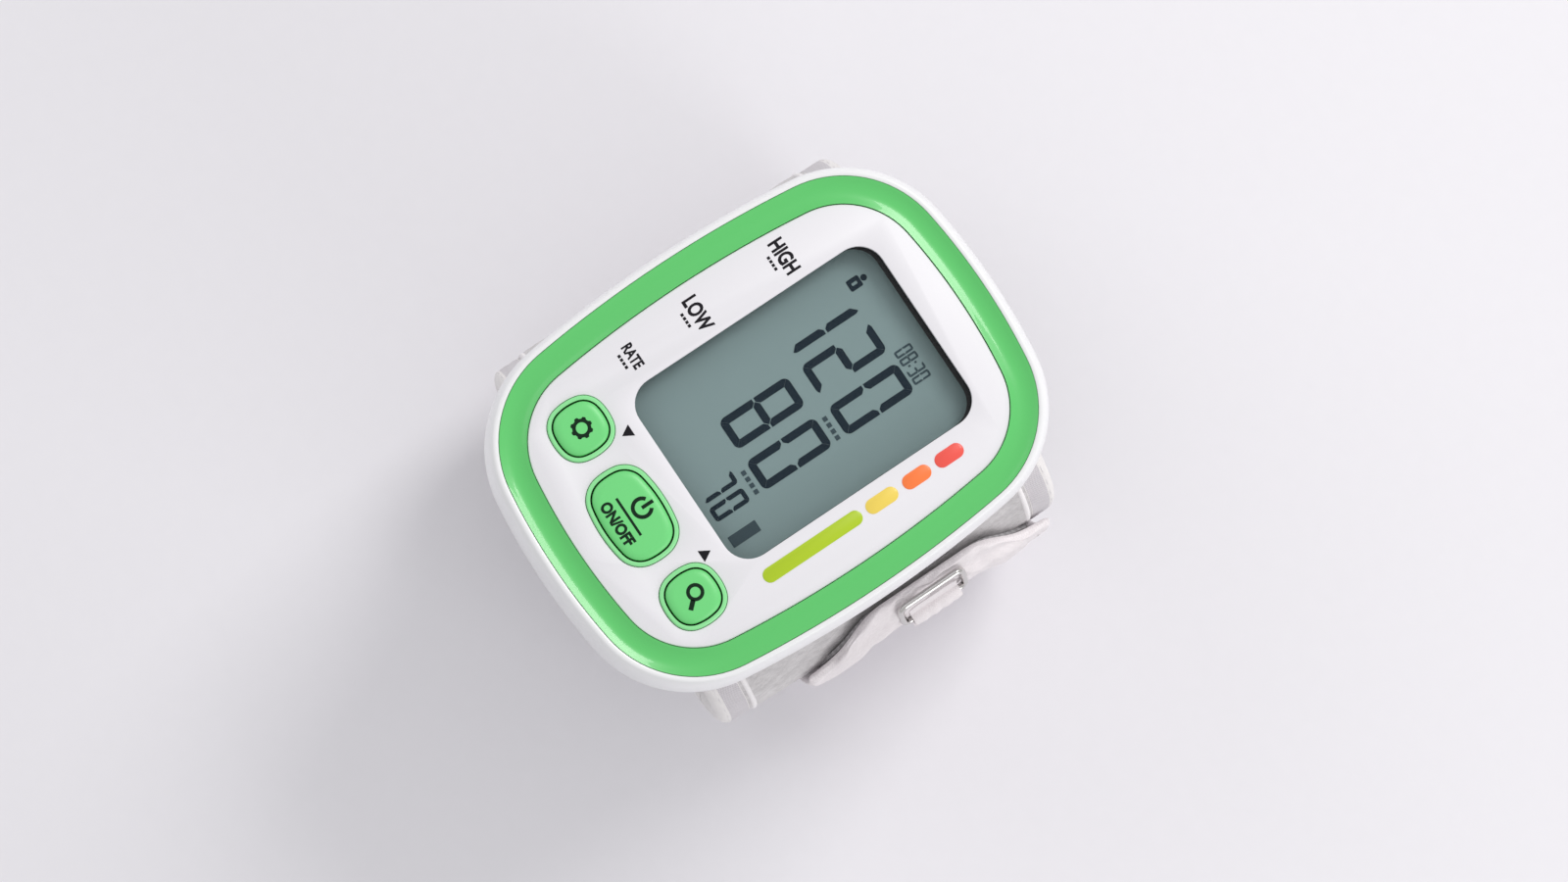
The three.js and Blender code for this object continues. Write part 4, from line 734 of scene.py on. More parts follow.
def buildDoor():
    wall = housing["wall"]
    panel = rearForm("batteryDoor", 0, rearTop, footZ)
    combine(panel, [rearForm("inner", wall, lapTop, footZ)])
    combine(panel, [doorCutter(0)], "INTERSECT")
    half, thick = door["halfHeight"] / 2, door["ribThick"] / 2
    ribs = [block("rib", (-(caseSide - wall / 2), y - thick, doorMiddle - half),
                  (-(caseSide - wall) + door["ribReach"], y + thick, doorMiddle + half))
            for y in (-door["gripHalf"], door["gripHalf"])]
    combine(panel, ribs, "UNION")
    hollowed = circle(-caseSide - door["gripRadius"] + door["gripDepth"], doorMiddle, door["gripRadius"],
                      door["gripSteps"])
    combine(panel, [drawnY("grip", hollowed, -door["gripHalf"], door["gripHalf"])])
    softenEdges(panel, door["soften"])
    settle(panel, "door", "case_white", "battery_door")
    print("housing made")


def buildGreenRing():
    wide, edge = ring["band"], ring["edge"]
    # The ring fills its channel closely: its profile widens by half the spare inside and all of it outside
    spare = fit["gap"] - fit["seam"]
    profile = [(-wide - spare / 2, panelBottom)]
    for i in range(ring["steps"] + 1):
        share = i / ring["steps"]
        inward = wide * (1 - share)
        z = faceZ - ring["innerDrop"] * (1 - share)
        z -= ring["dish"] * math.sin(math.pi * share) ** ring["dishPower"]
        nearest = min(inward, wide - inward)
        if nearest < edge:
            z -= ring["edgeDrop"] * (1 - nearest / edge) ** 2
        profile.append((-inward + spare * (1.5 * share - 0.5), z))
    profile.append((spare, panelBottom))
    settle(stackedOutline("greenRing", ringArcs, profile, "ringGreen", loop=True), "monitor", "ring_green",
           "trim_ring")


facePlate = {
    "edge": [(0, 0.3), (0.09, 0.1), (0.3, 0)],  # how far in and how far down
    # The outer margin and the four sizes after it place a black band under the lens that shows only along the
    # window's top and right edges: a painted shadow of the window's edge on the display
    "soften": 0.12, "surroundWall": 1.2, "lensMargin": 1.1, "shadowBandMargin": 1.0,
    "shadowShiftX": -0.15, "shadowShiftDown": 0.65, "shadowWider": 0.05, "shadowShorter": 0.1,
}


def buildFacePlate():
    edge = -ring["band"] - (fit["gap"] + fit["seam"]) / 2
    profile = [(edge, panelBottom)] + [(edge - into, panelTop - down) for into, down in facePlate["edge"]]
    plate = stackedOutline("facePlate", ringArcs, profile, "panelFilm")
    low, high = panelBottom - fit["overrun"], panelTop + fit["overrun"]
    tools = [drawnZ("window", windowShape(0), low, high)]
    tools += [keyShaft(key, fit["seam"], low, high) for key in keys]
    combine(plate, tools)
    softenEdges(plate, facePlate["soften"])
    settle(plate, "monitor", "panel_film", "face_panel")


def buildWindow():
    outer = window["tunnel"] - fit["gap"]
    surround = band("displaySurround", windowShape(outer), windowShape(outer - facePlate["surroundWall"]),
                    footOf("lcd_frame"), topOf("lcd_frame"), "blackPlastic")
    settle(surround, "monitor", "black_plastic", "lcd_frame")
    lens = drawnZ("displayWindow", windowShape(facePlate["lensMargin"]), lensLow, lensTop, "lensClear")
    settle(lens, "monitor", "lens_clear", "display_lens")
    # A black band under the lens, shifted so that it shows only along the window's top and right edges:
    # painted shadow of the window's edge on the display
    shadowEdge = roundedRectangle(facePlate["shadowShiftX"], window["y"] - facePlate["shadowShiftDown"],
                             window["halfWidth"] + facePlate["shadowWider"],
                             window["halfHeight"] - facePlate["shadowShorter"], window["corner"])
    inkRing("paintedWindowShadow", "lens", windowShape(facePlate["shadowBandMargin"]), shadowEdge)


def buildKeyCollars():
    gap, wall, over = fit["gap"], keyShape["collarWall"], fit["overrun"]
    margin = keyShape["webMargin"]
    _, start, memory = keys
    plate = roundedRectangle(0, start["y"], memory["x"] + smallKey["halfWidth"] + margin,
                             startKey["halfHeight"] + margin, smallKey["halfWidth"])
    web = drawnZ("keyCollars", plate, webBottom, webTop, "collarGreen")
    collarTop = panelTop + keyShape["collarRise"]
    profile = [(0, webBottom)] + [(-into, collarTop - down) for into, down in keyShape["collarEdge"]]
    combine(web, [keyForm("collar", key, profile) for key in keys], "UNION")
    tools = [keyShaft(key, -wall, webBottom - over, collarTop + over) for key in keys]
    tools += posts(housing["bossRadius"] + gap, webBottom - over, webTop + over)
    combine(web, tools)
    settle(web, "monitor", "key_green", "button_frame")


def buildKeys():
    cap, flangeTop = -keyShape["collarWall"] - fit["gap"], webBottom - fit["gap"]
    flangeLow = flangeTop - keyShape["flangeThick"]
    profile = [(cap + keyShape["flange"], flangeLow), (cap + keyShape["flange"], flangeTop), (cap, flangeTop)]
    profile += [(cap - keyShape["edge"] * into, keyTop - keyShape["edgeDrop"] * down)
                for into, down in quarterRound(keyShape["edgeSteps"])]
    for key in keys:
        name = key["name"]
        piece = keyForm(f"{name}Key", key, profile, "keyGreen")
        stem = drawnZ("stem", circle(key["x"], key["y"], keyShape["stemRadius"]),
                      flangeLow - keyShape["stemLength"], flangeLow + keyShape["stemSink"])
        combine(piece, [stem], "UNION")
        settle(piece, f"{name}_key", "key_green", f"button_{name}")
    print("face and keys made")


# Printed marks lie on the panel, the keys and the display as films of ink

ink = {"thick": 0.03, "sink": 0.01, "capitalShare": 0.71, "curveSteps": 4}
inkPlaces = {
    # height, finish, body and slot
    "panel": (panelTop, "printBlack", "monitor", "panel_film"),
    "settings": (keyTop, "printGreenBlack", "settings_key", "key_green"),
    "start": (keyTop, "printGreenBlack", "start_key", "key_green"),
    "memory": (keyTop, "printGreenBlack", "memory_key", "key_green"),
    # under the lens lies the black band of painted shadow along the window's top and right edges
    "lens": (lensLow - ink["thick"] + ink["sink"], "blackPlastic", "monitor", "black_plastic"),
    "display": (lcdTop + ink["sink"], "lcdInk", "monitor", "lcd"),
    "displayFaint": (lcdTop + ink["sink"], "lcdFaint", "monitor", "lcd"),
}


def inkShape(name, place, outlines):
    z, finish, body, slot = inkPlaces[place]
    points, faces = [], []
    for shape in outlines:
        tube(points, faces, [level(shape, z - ink["sink"]), level(shape, z + ink["thick"])])
    settle(makePiece(name, points, faces, finish), body, slot)


def inkRing(name, place, outer, inner):
    z, finish, body, slot = inkPlaces[place]
    settle(band(name, outer, inner, z - ink["sink"], z + ink["thick"], finish), body, slot)


def lettering(name, place, words, x, y, height, bold, narrow):
    # Plain words, centred on x with their feet on y
    z, finish, body, slot = inkPlaces[place]
    curve = bpy.data.curves.new(name, "FONT")
    curve.body = words
    curve.size = height / ink["capitalShare"] * mm
    curve.align_x = "CENTER"
    curve.extrude = ink["thick"] / 2 * mm
    curve.offset = bold * mm
    curve.resolution_u = ink["curveSteps"]
    text = addObject(name, curve)
    bpy.context.view_layer.update()
    mesh = bpy.data.meshes.new_from_object(text.evaluated_get(bpy.context.evaluated_depsgraph_get()))
    bpy.data.objects.remove(text)
    for vertex in mesh.vertices:
        vertex.co.x *= narrow
        vertex.co += Vector((x, y, z + ink["thick"] / 2 - ink["sink"])) * mm
    piece = addObject(name, mesh)
    paint(piece, finish)
    settle(piece, body, slot)


def arcBand(x, y, radius, width, start, end, steps=28):
    start, end = math.radians(start), math.radians(end)
    inner = arc(x, y, radius - width / 2, start, end - start, steps)
    return arc(x, y, radius + width / 2, start, end - start, steps) + inner[::-1]


def bar(x0, y0, x1, y1, width):
    start, end = Vector((x0, y0)), Vector((x1, y1))
    along = (end - start).normalized()
    side = Vector((-along.y, along.x)) * width / 2
    return [start - side, end - side, end + side, start + side]


def capsule(x, low, high, radius, steps=14):
    return (arc(x, high - radius, radius, 0, math.pi, steps)
            + arc(x, low + radius, radius, math.pi, math.pi, steps))


pill = {"x": 20.05, "radius": 1.25, "bevel": 0.13, "sink": 0.02, "side": 0.05, "crown": 0.12}
pills = {"pillRed": (18.6, 23.8), "pillOrange": (12.3, 17.5), "pillYellow": (5.2, 11.1),
         "pillGreen": (-14.6, 4.2)}  # where each starts and ends
arrows = {"arrowDown": [(-12.55, -18.9), (-11.5, -20.7), (-10.45, -18.9)],
          "arrowUp": [(12.55, -20.9), (11.5, -19.1), (10.45, -20.9)]}
labelPrint = {"x": -21.3, "boldShare": 0.05, "narrow": 0.72, "dash": 0.5,
              "dashes": (-22.65, -21.95, -21.25, -20.55)}
labels = [
    # word, feet, height of the letters, place of the small dashes under it
    ("HIGH", 15.9, 2.5, 14.8),
    ("LOW", -0.8, 2.5, -1.9),
    ("RATE", -13.0, 1.8, -14.0),
]
cog = {"x": -16.05, "y": -25.4, "root": 1.52, "tooth": 0.28, "teeth": 8, "steep": 9, "hole": 0.95,
       "steps": 96}
glass = {"x": 15.7, "y": -24.9, "outer": 1.45, "inner": 0.86, "steps": 48,
         "handle": (16.55, -25.85, 17.7, -27.1, 0.78)}
standby = {"ring": (-0.15, -24.45, 1.5, 0.62, 125, 415), "bar": (-0.15, -24.5, -0.15, -22.4, 0.58),
           "rule": (-3.65, -27.05, 3.4, -27.05, 0.42)}
startWords = {"words": "ON/OFF", "x": -0.15, "y": -30.0, "height": 1.8, "bold": 0.12, "narrow": 0.85}


def buildPanelPrint():
    for name, (low, high) in pills.items():
        side = capsule(pill["x"], low, high, pill["radius"])
        crown = capsule(pill["x"], low + pill["bevel"], high - pill["bevel"], pill["radius"] - pill["bevel"])
        rings = [level(side, panelTop - pill["sink"]), level(side, panelTop + pill["side"]),
                 level(crown, panelTop + pill["crown"])]
        settle(loft(name, rings, name), "monitor", "panel_film")
    for name, corners in arrows.items():
        inkShape(name, "panel", [[Vector(corner) for corner in corners]])
    dash = labelPrint["dash"]
    for word, feet, height, y in labels:
        lettering(f"label{word.title()}", "panel", word, labelPrint["x"], feet, height,
                  height * labelPrint["boldShare"], labelPrint["narrow"])
        dashes = [bar(x, y, x + dash, y, dash) for x in labelPrint["dashes"]]
        inkShape(f"dashes{word.title()}", "panel", dashes)

    cogEdge = []
    for i in range(cog["steps"]):
        angle = turn * i / cog["steps"]
        tooth = 1 / (1 + math.exp(-cog["steep"] * math.cos(cog["teeth"] * angle)))
        radius = cog["root"] + cog["tooth"] * tooth
        cogEdge.append(Vector((cog["x"] + radius * math.cos(angle), cog["y"] + radius * math.sin(angle))))
    inkRing("cogMark", "settings", cogEdge, circle(cog["x"], cog["y"], cog["hole"], cog["steps"]))
    inkRing("glassMark", "memory", circle(glass["x"], glass["y"], glass["outer"], glass["steps"]),
            circle(glass["x"], glass["y"], glass["inner"], glass["steps"]))
    inkShape("glassHandle", "memory", [bar(*glass["handle"])])
    inkShape("standbyMark", "start", [arcBand(*standby["ring"]), bar(*standby["bar"])])
    inkShape("startRule", "start", [bar(*standby["rule"])])
    lettering("startWords", "start", **startWords)
    print("printed marks made")


# Display figures: seven-segment digits that the display shows

segments = {
    "0": "abcdef", "1": "bc", "2": "abged", "3": "abgcd", "4": "fgbc", "5": "afgcd",
    "6": "afgedc", "7": "abc", "8": "abcdefg", "9": "abcdfg",
}
figure = {"gap": 0.016, "corner": 0.85, "split": 0.13, "foot": 0.55}  # shares of the stroke
mitreSteps = 3  # on each side of a corner's mitre
reading = [
    # sign, left edge, foot, width, height, stroke
    ("1", -13.15, 9.7, 5.75, 13.3, 1.3), ("2", -5.25, 9.7, 5.65, 13.3, 1.3), ("0", 2.7, 9.7, 5.6, 13.3, 1.3),
    ("8", -5.25, -6.3, 5.65, 13.3, 1.3), ("0", 2.7, -6.3, 5.6, 13.3, 1.3),
    ("7", 2.3, -15.5, 2.5, 6.5, 0.75), ("0", 5.7, -15.5, 2.6, 6.5, 0.75),
]
clock = {"signs": (("0", 1.25), ("8", 2.75), ("3", 4.85), ("0", 6.35)), "size": (23.5, 1.25, 3.2, 0.36),
         "colon": ((4.42, 24.3, 4.42, 24.7, 0.35), (4.42, 25.5, 4.42, 25.9, 0.35))}
beatBar = (12.2, -10.25, 12.2, -15.5, 2.0)
unitDots = {"rows": (8.3, -7.5), "x": 3.6, "pitch": 1.2, "side": 0.8, "count": 4}
cellSign = {"x": -11.65, "y": 24.6, "outer": (1.0, 1.15, 0.3), "inner": (0.24, 0.5, 0.1), "cornerSteps": 4,
            "tipY": 26.4, "tipRadius": 0.55, "tipSteps": 20}


def digit(sign, x, y, width, height, stroke):
    # Mitred strokes of one figure; x and y are its lower left corner
    gap, bend, split, foot = (figure[part] * stroke for part in ("gap", "corner", "split", "foot"))
    half, top = width / 2, height / 2
    inner = stroke + gap
    bow = [(bend * into, bend * down) for into, down in quarterRound(2 * mitreSteps)]
    upper = [(-half + px, top - py - gap) for px, py in reversed(bow[:mitreSteps + 1])]
    upper += [(-half, split), (-half + foot, split), (-half + stroke, stroke / 2 + split),
              (-half + stroke, top - inner)]
    across = [(-half + px + gap, top - py) for px, py in bow[mitreSteps:]]
    across += [(half - px - gap, top - py) for px, py in reversed(bow[mitreSteps:])]
    across += [(half - inner, top - stroke), (-half + inner, top - stroke)]
    middle = [(-half + stroke / 2 + gap, 0), (-half + inner, stroke / 2), (half - inner, stroke / 2),
              (half - stroke / 2 - gap, 0), (half - inner, -stroke / 2), (-half + inner, -stroke / 2)]
    strokes = {
        "a": (across, 1, 1), "d": (across, 1, -1), "g": (middle, 1, 1),
        "f": (upper, 1, 1), "b": (upper, -1, 1), "e": (upper, 1, -1), "c": (upper, -1, -1),
    }
    shapes = []
    for name in segments[sign]:
        shape, sx, sy = strokes[name]
        shapes.append([Vector((x + half + px * sx, y + top + py * sy)) for px, py in shape])
    return shapes


def buildDisplay():
    paint(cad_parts["lcd_glass"], "lcdFace", "solid")
    shapes = [shape for place in reading for shape in digit(*place)]
    shapes.append(circle(cellSign["x"], cellSign["tipY"], cellSign["tipRadius"], cellSign["tipSteps"]))
    inkShape("displayFigures", "display", shapes)
    outer, inner = (roundedRectangle(cellSign["x"], cellSign["y"], *cellSign[part], cellSign["cornerSteps"])
                    for part in ("outer", "inner"))
    inkRing("batterySign", "display", outer, inner)
    shapes = [shape for sign, x in clock["signs"] for shape in digit(sign, x, *clock["size"])]
    shapes += [bar(*dot) for dot in clock["colon"]]
    shapes.append(bar(*beatBar))
    for y in unitDots["rows"]:
        for i in range(unitDots["count"]):
            x = unitDots["x"] + unitDots["pitch"] * i
            shapes.append(bar(x, y, x + unitDots["side"], y, unitDots["side"]))
    inkShape("displaySmallFigures", "displayFaint", shapes)
    print("display made")


# Soft pieces are grids over the cuff's surface with an outer and an inner face

padRim = {"reach": 1.6, "steps": (0, 0.12, 0.35, 0.65), "least": 0.08}


def ease(share):
    share = min(1.0, max(0.0, share))
    return share * share * (3 - 2 * share)


def rounded(depth, least):
    # The rise of a quarter circle, from its least at depth 0 to 1 at depth 1
    return math.sqrt(max(0, 1 - (1 - min(depth, 1)) ** 2)) * (1 - least) + least


def ripples(angle, y, waves):
    return sum(noise.noise(Vector((angle * across, y * along, seed))) * height
               for across, along, seed, height in waves)


def spread(count, rim):
    # Even shares of 0 to 1, with closer ones inside the rim at both ends
    inner = [rim + (1 - 2 * rim) * i / count for i in range(count + 1)]
    edge = [rim * step for step in padRim["steps"]]
    return edge + inner + [1 - share for share in reversed(edge)]


def storePlaces(piece, places):
    store = piece.data.attributes.new("clothPlace", "FLOAT_VECTOR", "POINT")
    store.data.foreach_set("vector", [value for place in places for value in place])


def softPad(name, place, size, layer, counts, finish, rim, ends=(True, True), puff=None):
    # place(s, t) gives the angle and the place along the cuff's axis; size is the pad's length and width;
    # layer is its middle's offset from the cuff's opening and its thickness, or gives both for an angle
    rows, columns = (spread(counts[k], rim / size[k] * padRim["reach"]) for k in (0, 1))
    points, places = [], []
    for face in (1, -1):
        for s in rows:
            for t in columns:
                angle, y = place(s, t)
                inside = [t * size[1], (1 - t) * size[1]]
                inside += [s * size[0]] if ends[0] else []
                inside += [(1 - s) * size[0]] if ends[1] else []
                swell = rounded(min(inside) / rim, padRim["least"])
                middle, thick = layer(angle) if callable(layer) else layer
                offset = middle + face * thick / 2 * swell
                if puff:
                    offset += puff(angle, y, face) * swell
                points.append(softPoint(angle, y, offset))
                places.append((s * size[0], y, face))
    last, wide = len(rows) - 1, len(columns)
    sheet = len(rows) * wide
    faces = []
    for i in range(last):
        for a in range(i * wide, i * wide + wide - 1):
            faces.append((a, a + 1, a + wide + 1, a + wide))
            faces.append((sheet + a, sheet + a + wide, sheet + a + wide + 1, sheet + a + 1))
    border = list(range(wide))
    border += [i * wide + wide - 1 for i in range(1, last + 1)]
    border += [last * wide + j for j in range(wide - 2, -1, -1)]
    border += [i * wide for i in range(last - 1, 0, -1)]
    for k, a in enumerate(border):
        b = border[(k + 1) % len(border)]
        faces.append((a, b, sheet + b, sheet + a))
    piece = makePiece(name, points, faces, finish, "cloth")
    storePlaces(piece, places)
    return piece


def clothLoft(name, rings, places, finish="bindingTape", kind="cloth"):
    piece = loft(name, rings, finish, kind=kind)
    storePlaces(piece, places)
    return piece


def sweepAround(name, angles, section, finish):
    # Carry a closed section of (place along the axis, offset) round the cuff; it may depend on the angle
    rings, places, along = [], [], 0
    previous = None
    for angle in angles:
        spot = cuffPoint(angle, cuffShape["thick"])
        along += (spot - previous).length if previous else 0
        previous = spot
        edge = section(angle) if callable(section) else section
        rings.append([softPoint(angle, y, offset) for y, offset in edge])
        places += [(along, y, offset) for y, offset in edge]
    return clothLoft(name, rings, places, finish)


def bendSpots(angles, offset):
    # Places in metres on the cuff at the given angles and offset
    spots = [cuffPoint(math.radians(angle), offset) for angle in angles]
    return [(spot.x * mm, 0, spot.y * mm) for spot in spots]


airing = {
    "frames": 16, "held": 0.02,
    "cloth": {
        "quality": 6, "mass": 0.2, "tension_stiffness": 25, "compression_stiffness": 25,
        "shear_stiffness": 12, "bending_stiffness": 0.35, "use_pressure": True, "uniform_pressure_force": 3.0,
        "shrink_min": -0.03, "vertex_group_mass": "hold",
    },
}


def inflate(piece, isHeld, limit):
    # Cloth under light pressure, held where isHeld says so; limit tells how far a point may move
    start = [vertex.co.copy() for vertex in piece.data.vertices]
    places = [Vector(item.vector) for item in piece.data.attributes["clothPlace"].data]
    hold = piece.vertex_groups.new(name="hold")
    hold.add([index for index, place in enumerate(places) if isHeld(place)], 1.0, "REPLACE")
    modifier = piece.modifiers.new("cloth", "CLOTH")
    for label, value in airing["cloth"].items():
        setattr(modifier.settings, label, value)
    modifier.settings.effector_weights.gravity = 0
    modifier.point_cache.frame_start = 1
    modifier.point_cache.frame_end = airing["frames"]
    scene = bpy.context.scene
    for step in range(1, airing["frames"] + 1):
        scene.frame_set(step)
    evaluated = piece.evaluated_get(bpy.context.evaluated_depsgraph_get())
    moved = [vertex.co.copy() for vertex in evaluated.data.vertices]
    piece.modifiers.clear()
    scene.frame_set(1)
    piece.vertex_groups.clear()
    largest = 0
    for index, vertex in enumerate(piece.data.vertices):
        shift = moved[index] - start[index]
        most = limit(places[index]) * mm
        if shift.length > most:
            shift *= most / shift.length
        largest = max(largest, shift.length)
        vertex.co = start[index] + shift
        vertex.co.z = max(vertex.co.z, table["clear"] * mm)
    print(piece.name, "cloth moved up to", round(largest / mm, 2), "mm")


def subdivide(piece):
    step = piece.modifiers.new("smooth", "SUBSURF")
    step.levels = 1
    step.render_levels = 1
    bake(piece)
    piece.data.shade_smooth()


# Cuff

cuff = {"elbow": -31, "hand": 39, "bind": 2.2, "flapEnd": -40, "split": 130, "padEnd": 291, "tuck": 3.5,
        "inner": 4.1, "outer": 5.15, "hinge": (233, 257), "hingeOffset": 3}
cover = {"counts": (70, 34), "rim": 0.5, "fill": 0.5, "crown": 0.28, "crownPower": 4, "hemDip": 0.3,
         "waves": ((5.5, 0.11, 3.1, 0.35), (13, 0.3, 8.2, 0.12)), "seamHold": 2, "least": 0.05, "most": 0.4}
lining = {"layer": (0.45, 0.86), "counts": (60, 40), "rim": 0.4, "fill": 0.3, "y": 4, "half": 29,
          "channels": 4, "channelPower": 0.5, "crown": 0.25, "crownPower": 4, "hemDip": 0.34}
airBag = {"thickShare": 0.9, "counts": (60, 16), "rim": 1.2, "fill": 0.1}
airBags = [
    # name, node, start, end, inner and outer offset, body, length
    ("cuffAirBag", "cuff_bladder", -34, 241, (1.2, 2.7), "monitor", 190),
    ("wrapAirBag", "wrap_bladder", 249, 285, (1.2, 3.8), "wrap", 36),
]
tape = {"reach": 5.6, "thick": 0.32, "outer": 5.22, "inner": 0.02, "round": 1.7, "roundSteps": 12,
        "bendShare": 0.6, "innerShare": 0.86, "hem": 0.5, "hemFade": 0.8}
sides = [("Elbow", cuff["elbow"], -1), ("Hand", cuff["hand"], 1)]
piping = {"from": tape["reach"] + 1.0, "radius": 0.55, "thinner": 0.45, "offset": 5.15, "sink": 0.15,
          "sides": 10}
webbing = {"from": tape["reach"] - 1.9, "half": 1.75, "flat": 0.8, "foot": 5.0, "side": 5.26, "crown": 5.31}
endTape = {"legs": 13, "legShare": 0.9, "nose": 5, "noseBend": 1.6, "noseThin": 0.18, "steps": 14,
           "outer": 5.2, "inner": 0.03, "thick": 0.32, "round": 1.7, "roundSteps": 5, "inset": 0.05,
           "flatFrom": 2, "flatSteps": 30, "least": 0.15, "back": 3.6, "innerLeg": 9.5, "outerLeg": 12.5,
           "fade": 1.2, "perDegree": 0.35}  # the last is millimetres of cloth to a degree
cornerFold = {"steps": 8, "short": 0.15, "narrow": 0.25, "closing": 0.995, "spread": 2}
stitch = {"pitch": 3.6, "length": 2.5, "radius": 0.19, "sink": 0.05, "sides": 6, "searchStep": 0.1,
          "cuffRadius": 22, "taper": ((0, 0.1), (0.2, 0.85), (0.5, 1), (0.8, 0.85), (1, 0.1)),
          "hem": 1.5, "offset": 5.16, "ends": 1}
unit = {"from": 44, "to": 152, "fade": 18}  # degrees round the cuff that the display unit covers
sweepStep = 2.5  # degrees from one ring of a sweep to the next


def underUnit(angle):
    # 1 where the display unit covers the cuff, 0 well away from it
    degrees = math.degrees(angle)
    return ease((degrees - unit["from"]) / unit["fade"]) * ease((unit["to"] - degrees) / unit["fade"])


def hemShare(y):
    # 1 under the binding tapes, 0 between them
    hem = tape["reach"] + tape["hem"]
    return ease(max(cuff["elbow"] + hem - y, y - (cuff["hand"] - hem)) / tape["hemFade"])


def endShare(angle, leg):
    # 1 under a leg of the tapes on the cuff's two ends, 0 between them
    degrees = math.degrees(angle)
    into = max(cuff["flapEnd"] + leg - degrees, degrees - (cuff["padEnd"] - leg))
    return ease(into / endTape["fade"])


def coverPuff(angle, y, face):
    if face < 0:
        return 0
    end = endShare(angle, endTape["outerLeg"])
    middle = (cuff["hand"] + cuff["elbow"]) / 2
    reach = (cuff["hand"] - cuff["elbow"]) / 2 - piping["from"]
    crown = max(0, 1 - ((y - middle) / reach) ** cover["crownPower"])
    crown *= cover["crown"] + ripples(angle, y, cover["waves"])
    return -cover["hemDip"] * max(hemShare(y), end) + (1 - end) * (1 - underUnit(angle)) * crown


def liningPuff(angle, y, face):
    if face > 0:
        return 0
    across = (y - lining["y"]) / lining["half"]
    crown = max(0, 1 - across ** lining["crownPower"])
    channel = abs(math.sin(across / 2 * math.pi * lining["channels"])) ** lining["channelPower"]
    end = endShare(angle, endTape["innerLeg"])
    return lining["hemDip"] * max(hemShare(y), end) - crown * lining["crown"] * channel * (1 - end)


def tapePath(end, sign, inset):
    # Down the outer face, round the cuff's edge, back along the inner face
    outer, inner, reach = tape["outer"] - inset, tape["inner"] + inset, tape["reach"]
    middle, half = (tape["outer"] + tape["inner"]) / 2, (tape["outer"] - tape["inner"]) / 2 - inset
    bend = end - sign * reach * tape["bendShare"]
    points = [(end - sign * reach, outer), (bend, outer)]
    points += [(end - sign * (tape["round"] + inset) + sign * tape["round"] * out, middle + half * up)
               for out, up in halfRound(tape["roundSteps"])]
    return points + [(bend, inner), (end - sign * reach * tape["innerShare"], inner)]


def pipingSection(angle, at):
    sink = underUnit(angle)
    radius = piping["radius"] * (1 - piping["thinner"] * sink)
    return circle(at, piping["offset"] - piping["sink"] * sink, radius, piping["sides"])


def webbingSection(at):
    half = webbing["half"]
    outer = [(at - half, webbing["side"]), (at - half * webbing["flat"], webbing["crown"]),
             (at + half * webbing["flat"], webbing["crown"]), (at + half, webbing["side"])]
    return [(at - half, webbing["foot"]), *outer, (at + half, webbing["foot"])]


def stitchRow(name, runs, offset, body, slot):
    # Raised stitches; each run holds the angle and y of its start and of its end
    points, faces = [], []
    count = stitch["sides"]
    for first, last in runs:
        alongAxis = first[0] == last[0]
        rings = []
        for share, width in stitch["taper"]:
            angle, y = Vector(first).lerp(Vector(last), share)
            row = []
            for across, rise in circle(0, 0, stitch["radius"] * width, count):
                lean, aside = (across / stitch["cuffRadius"], 0) if alongAxis else (0, across)
                row.append(softPoint(angle + lean, y + aside, offset - stitch["sink"] + rise))
            rings.append(row)
        tube(points, faces, rings)
    piece = makePiece(name, points, faces, "thread", "rounded")
    storePlaces(piece, [(x + z, y, 0) for x, y, z in points])
    settle(piece, body, slot)


def stitchesRound(start, end, y):
    # Stitches of even length along the outer face, from one angle in degrees to another
    def reach(distance, begin):
        spot, probe = cuffPoint(math.radians(begin), cuffShape["thick"]), begin
        while probe < end and (cuffPoint(math.radians(probe), cuffShape["thick"]) - spot).length < distance:
            probe += stitch["searchStep"]
        return probe

    runs, angle = [], start
    while angle < end:
        last = reach(stitch["length"], angle)
        if last < end:
            runs.append(((math.radians(angle), y), (math.radians(last), y)))
        angle = reach(stitch["pitch"], angle) if last < end else end
    return runs


def stitchesAcross(angle, yFrom, yTo):
    count = int((yTo - yFrom) / stitch["pitch"])
    starts = [yFrom + stitch["pitch"] * i for i in range(count)]
    return [((math.radians(angle), y), (math.radians(angle), y + stitch["length"])) for y in starts]


def buildEndTape(name, endAngle, way, body):
    # Tape folded over the cuff's end; way is the direction of the end round the cuff
    middle, half = (endTape["outer"] + endTape["inner"]) / 2, (endTape["outer"] - endTape["inner"]) / 2
    bend = -endTape["nose"] * endTape["noseBend"]

    def section(shrink, inset):
        rise = half * shrink - inset
        nose = endTape["nose"] * (1 - endTape["noseThin"] * inset)
        path = [(-endTape["legs"], rise), (bend, rise)]
        path += [(nose * out - endTape["nose"], rise * up) for out, up in halfRound(endTape["steps"])]
        return path + [(bend, -rise), (-endTape["legs"] * endTape["legShare"], -rise)]

    low, high, flat = cuff["elbow"], cuff["hand"], endTape["flatFrom"]
    ends = [endTape["inset"] + endTape["round"] * into for into, _ in quarterRound(endTape["roundSteps"])]
    count = endTape["flatSteps"]
    stations = [low + depth for depth in ends]
    stations += [low + flat + (high - low - 2 * flat) * k / count for k in range(count + 1)]
    stations += [high - depth for depth in reversed(ends)]
    rings, places = [], []
    for y in stations:
        shrink = rounded(min(y - low, high - y) / endTape["round"], endTape["least"])
        back = endTape["back"] * (1 - shrink)
        edge = section(shrink, 0) + section(shrink, endTape["thick"] * shrink)[::-1]
        rings.append([softPoint(math.radians(endAngle + way * (shift - back)), y, middle + rise)
                      for shift, rise in edge])
        places += [(y, shift * endTape["perDegree"] + rise, 0) for shift, rise in edge]
    settle(clothLoft(name, rings, places), body, "cuff_binding")


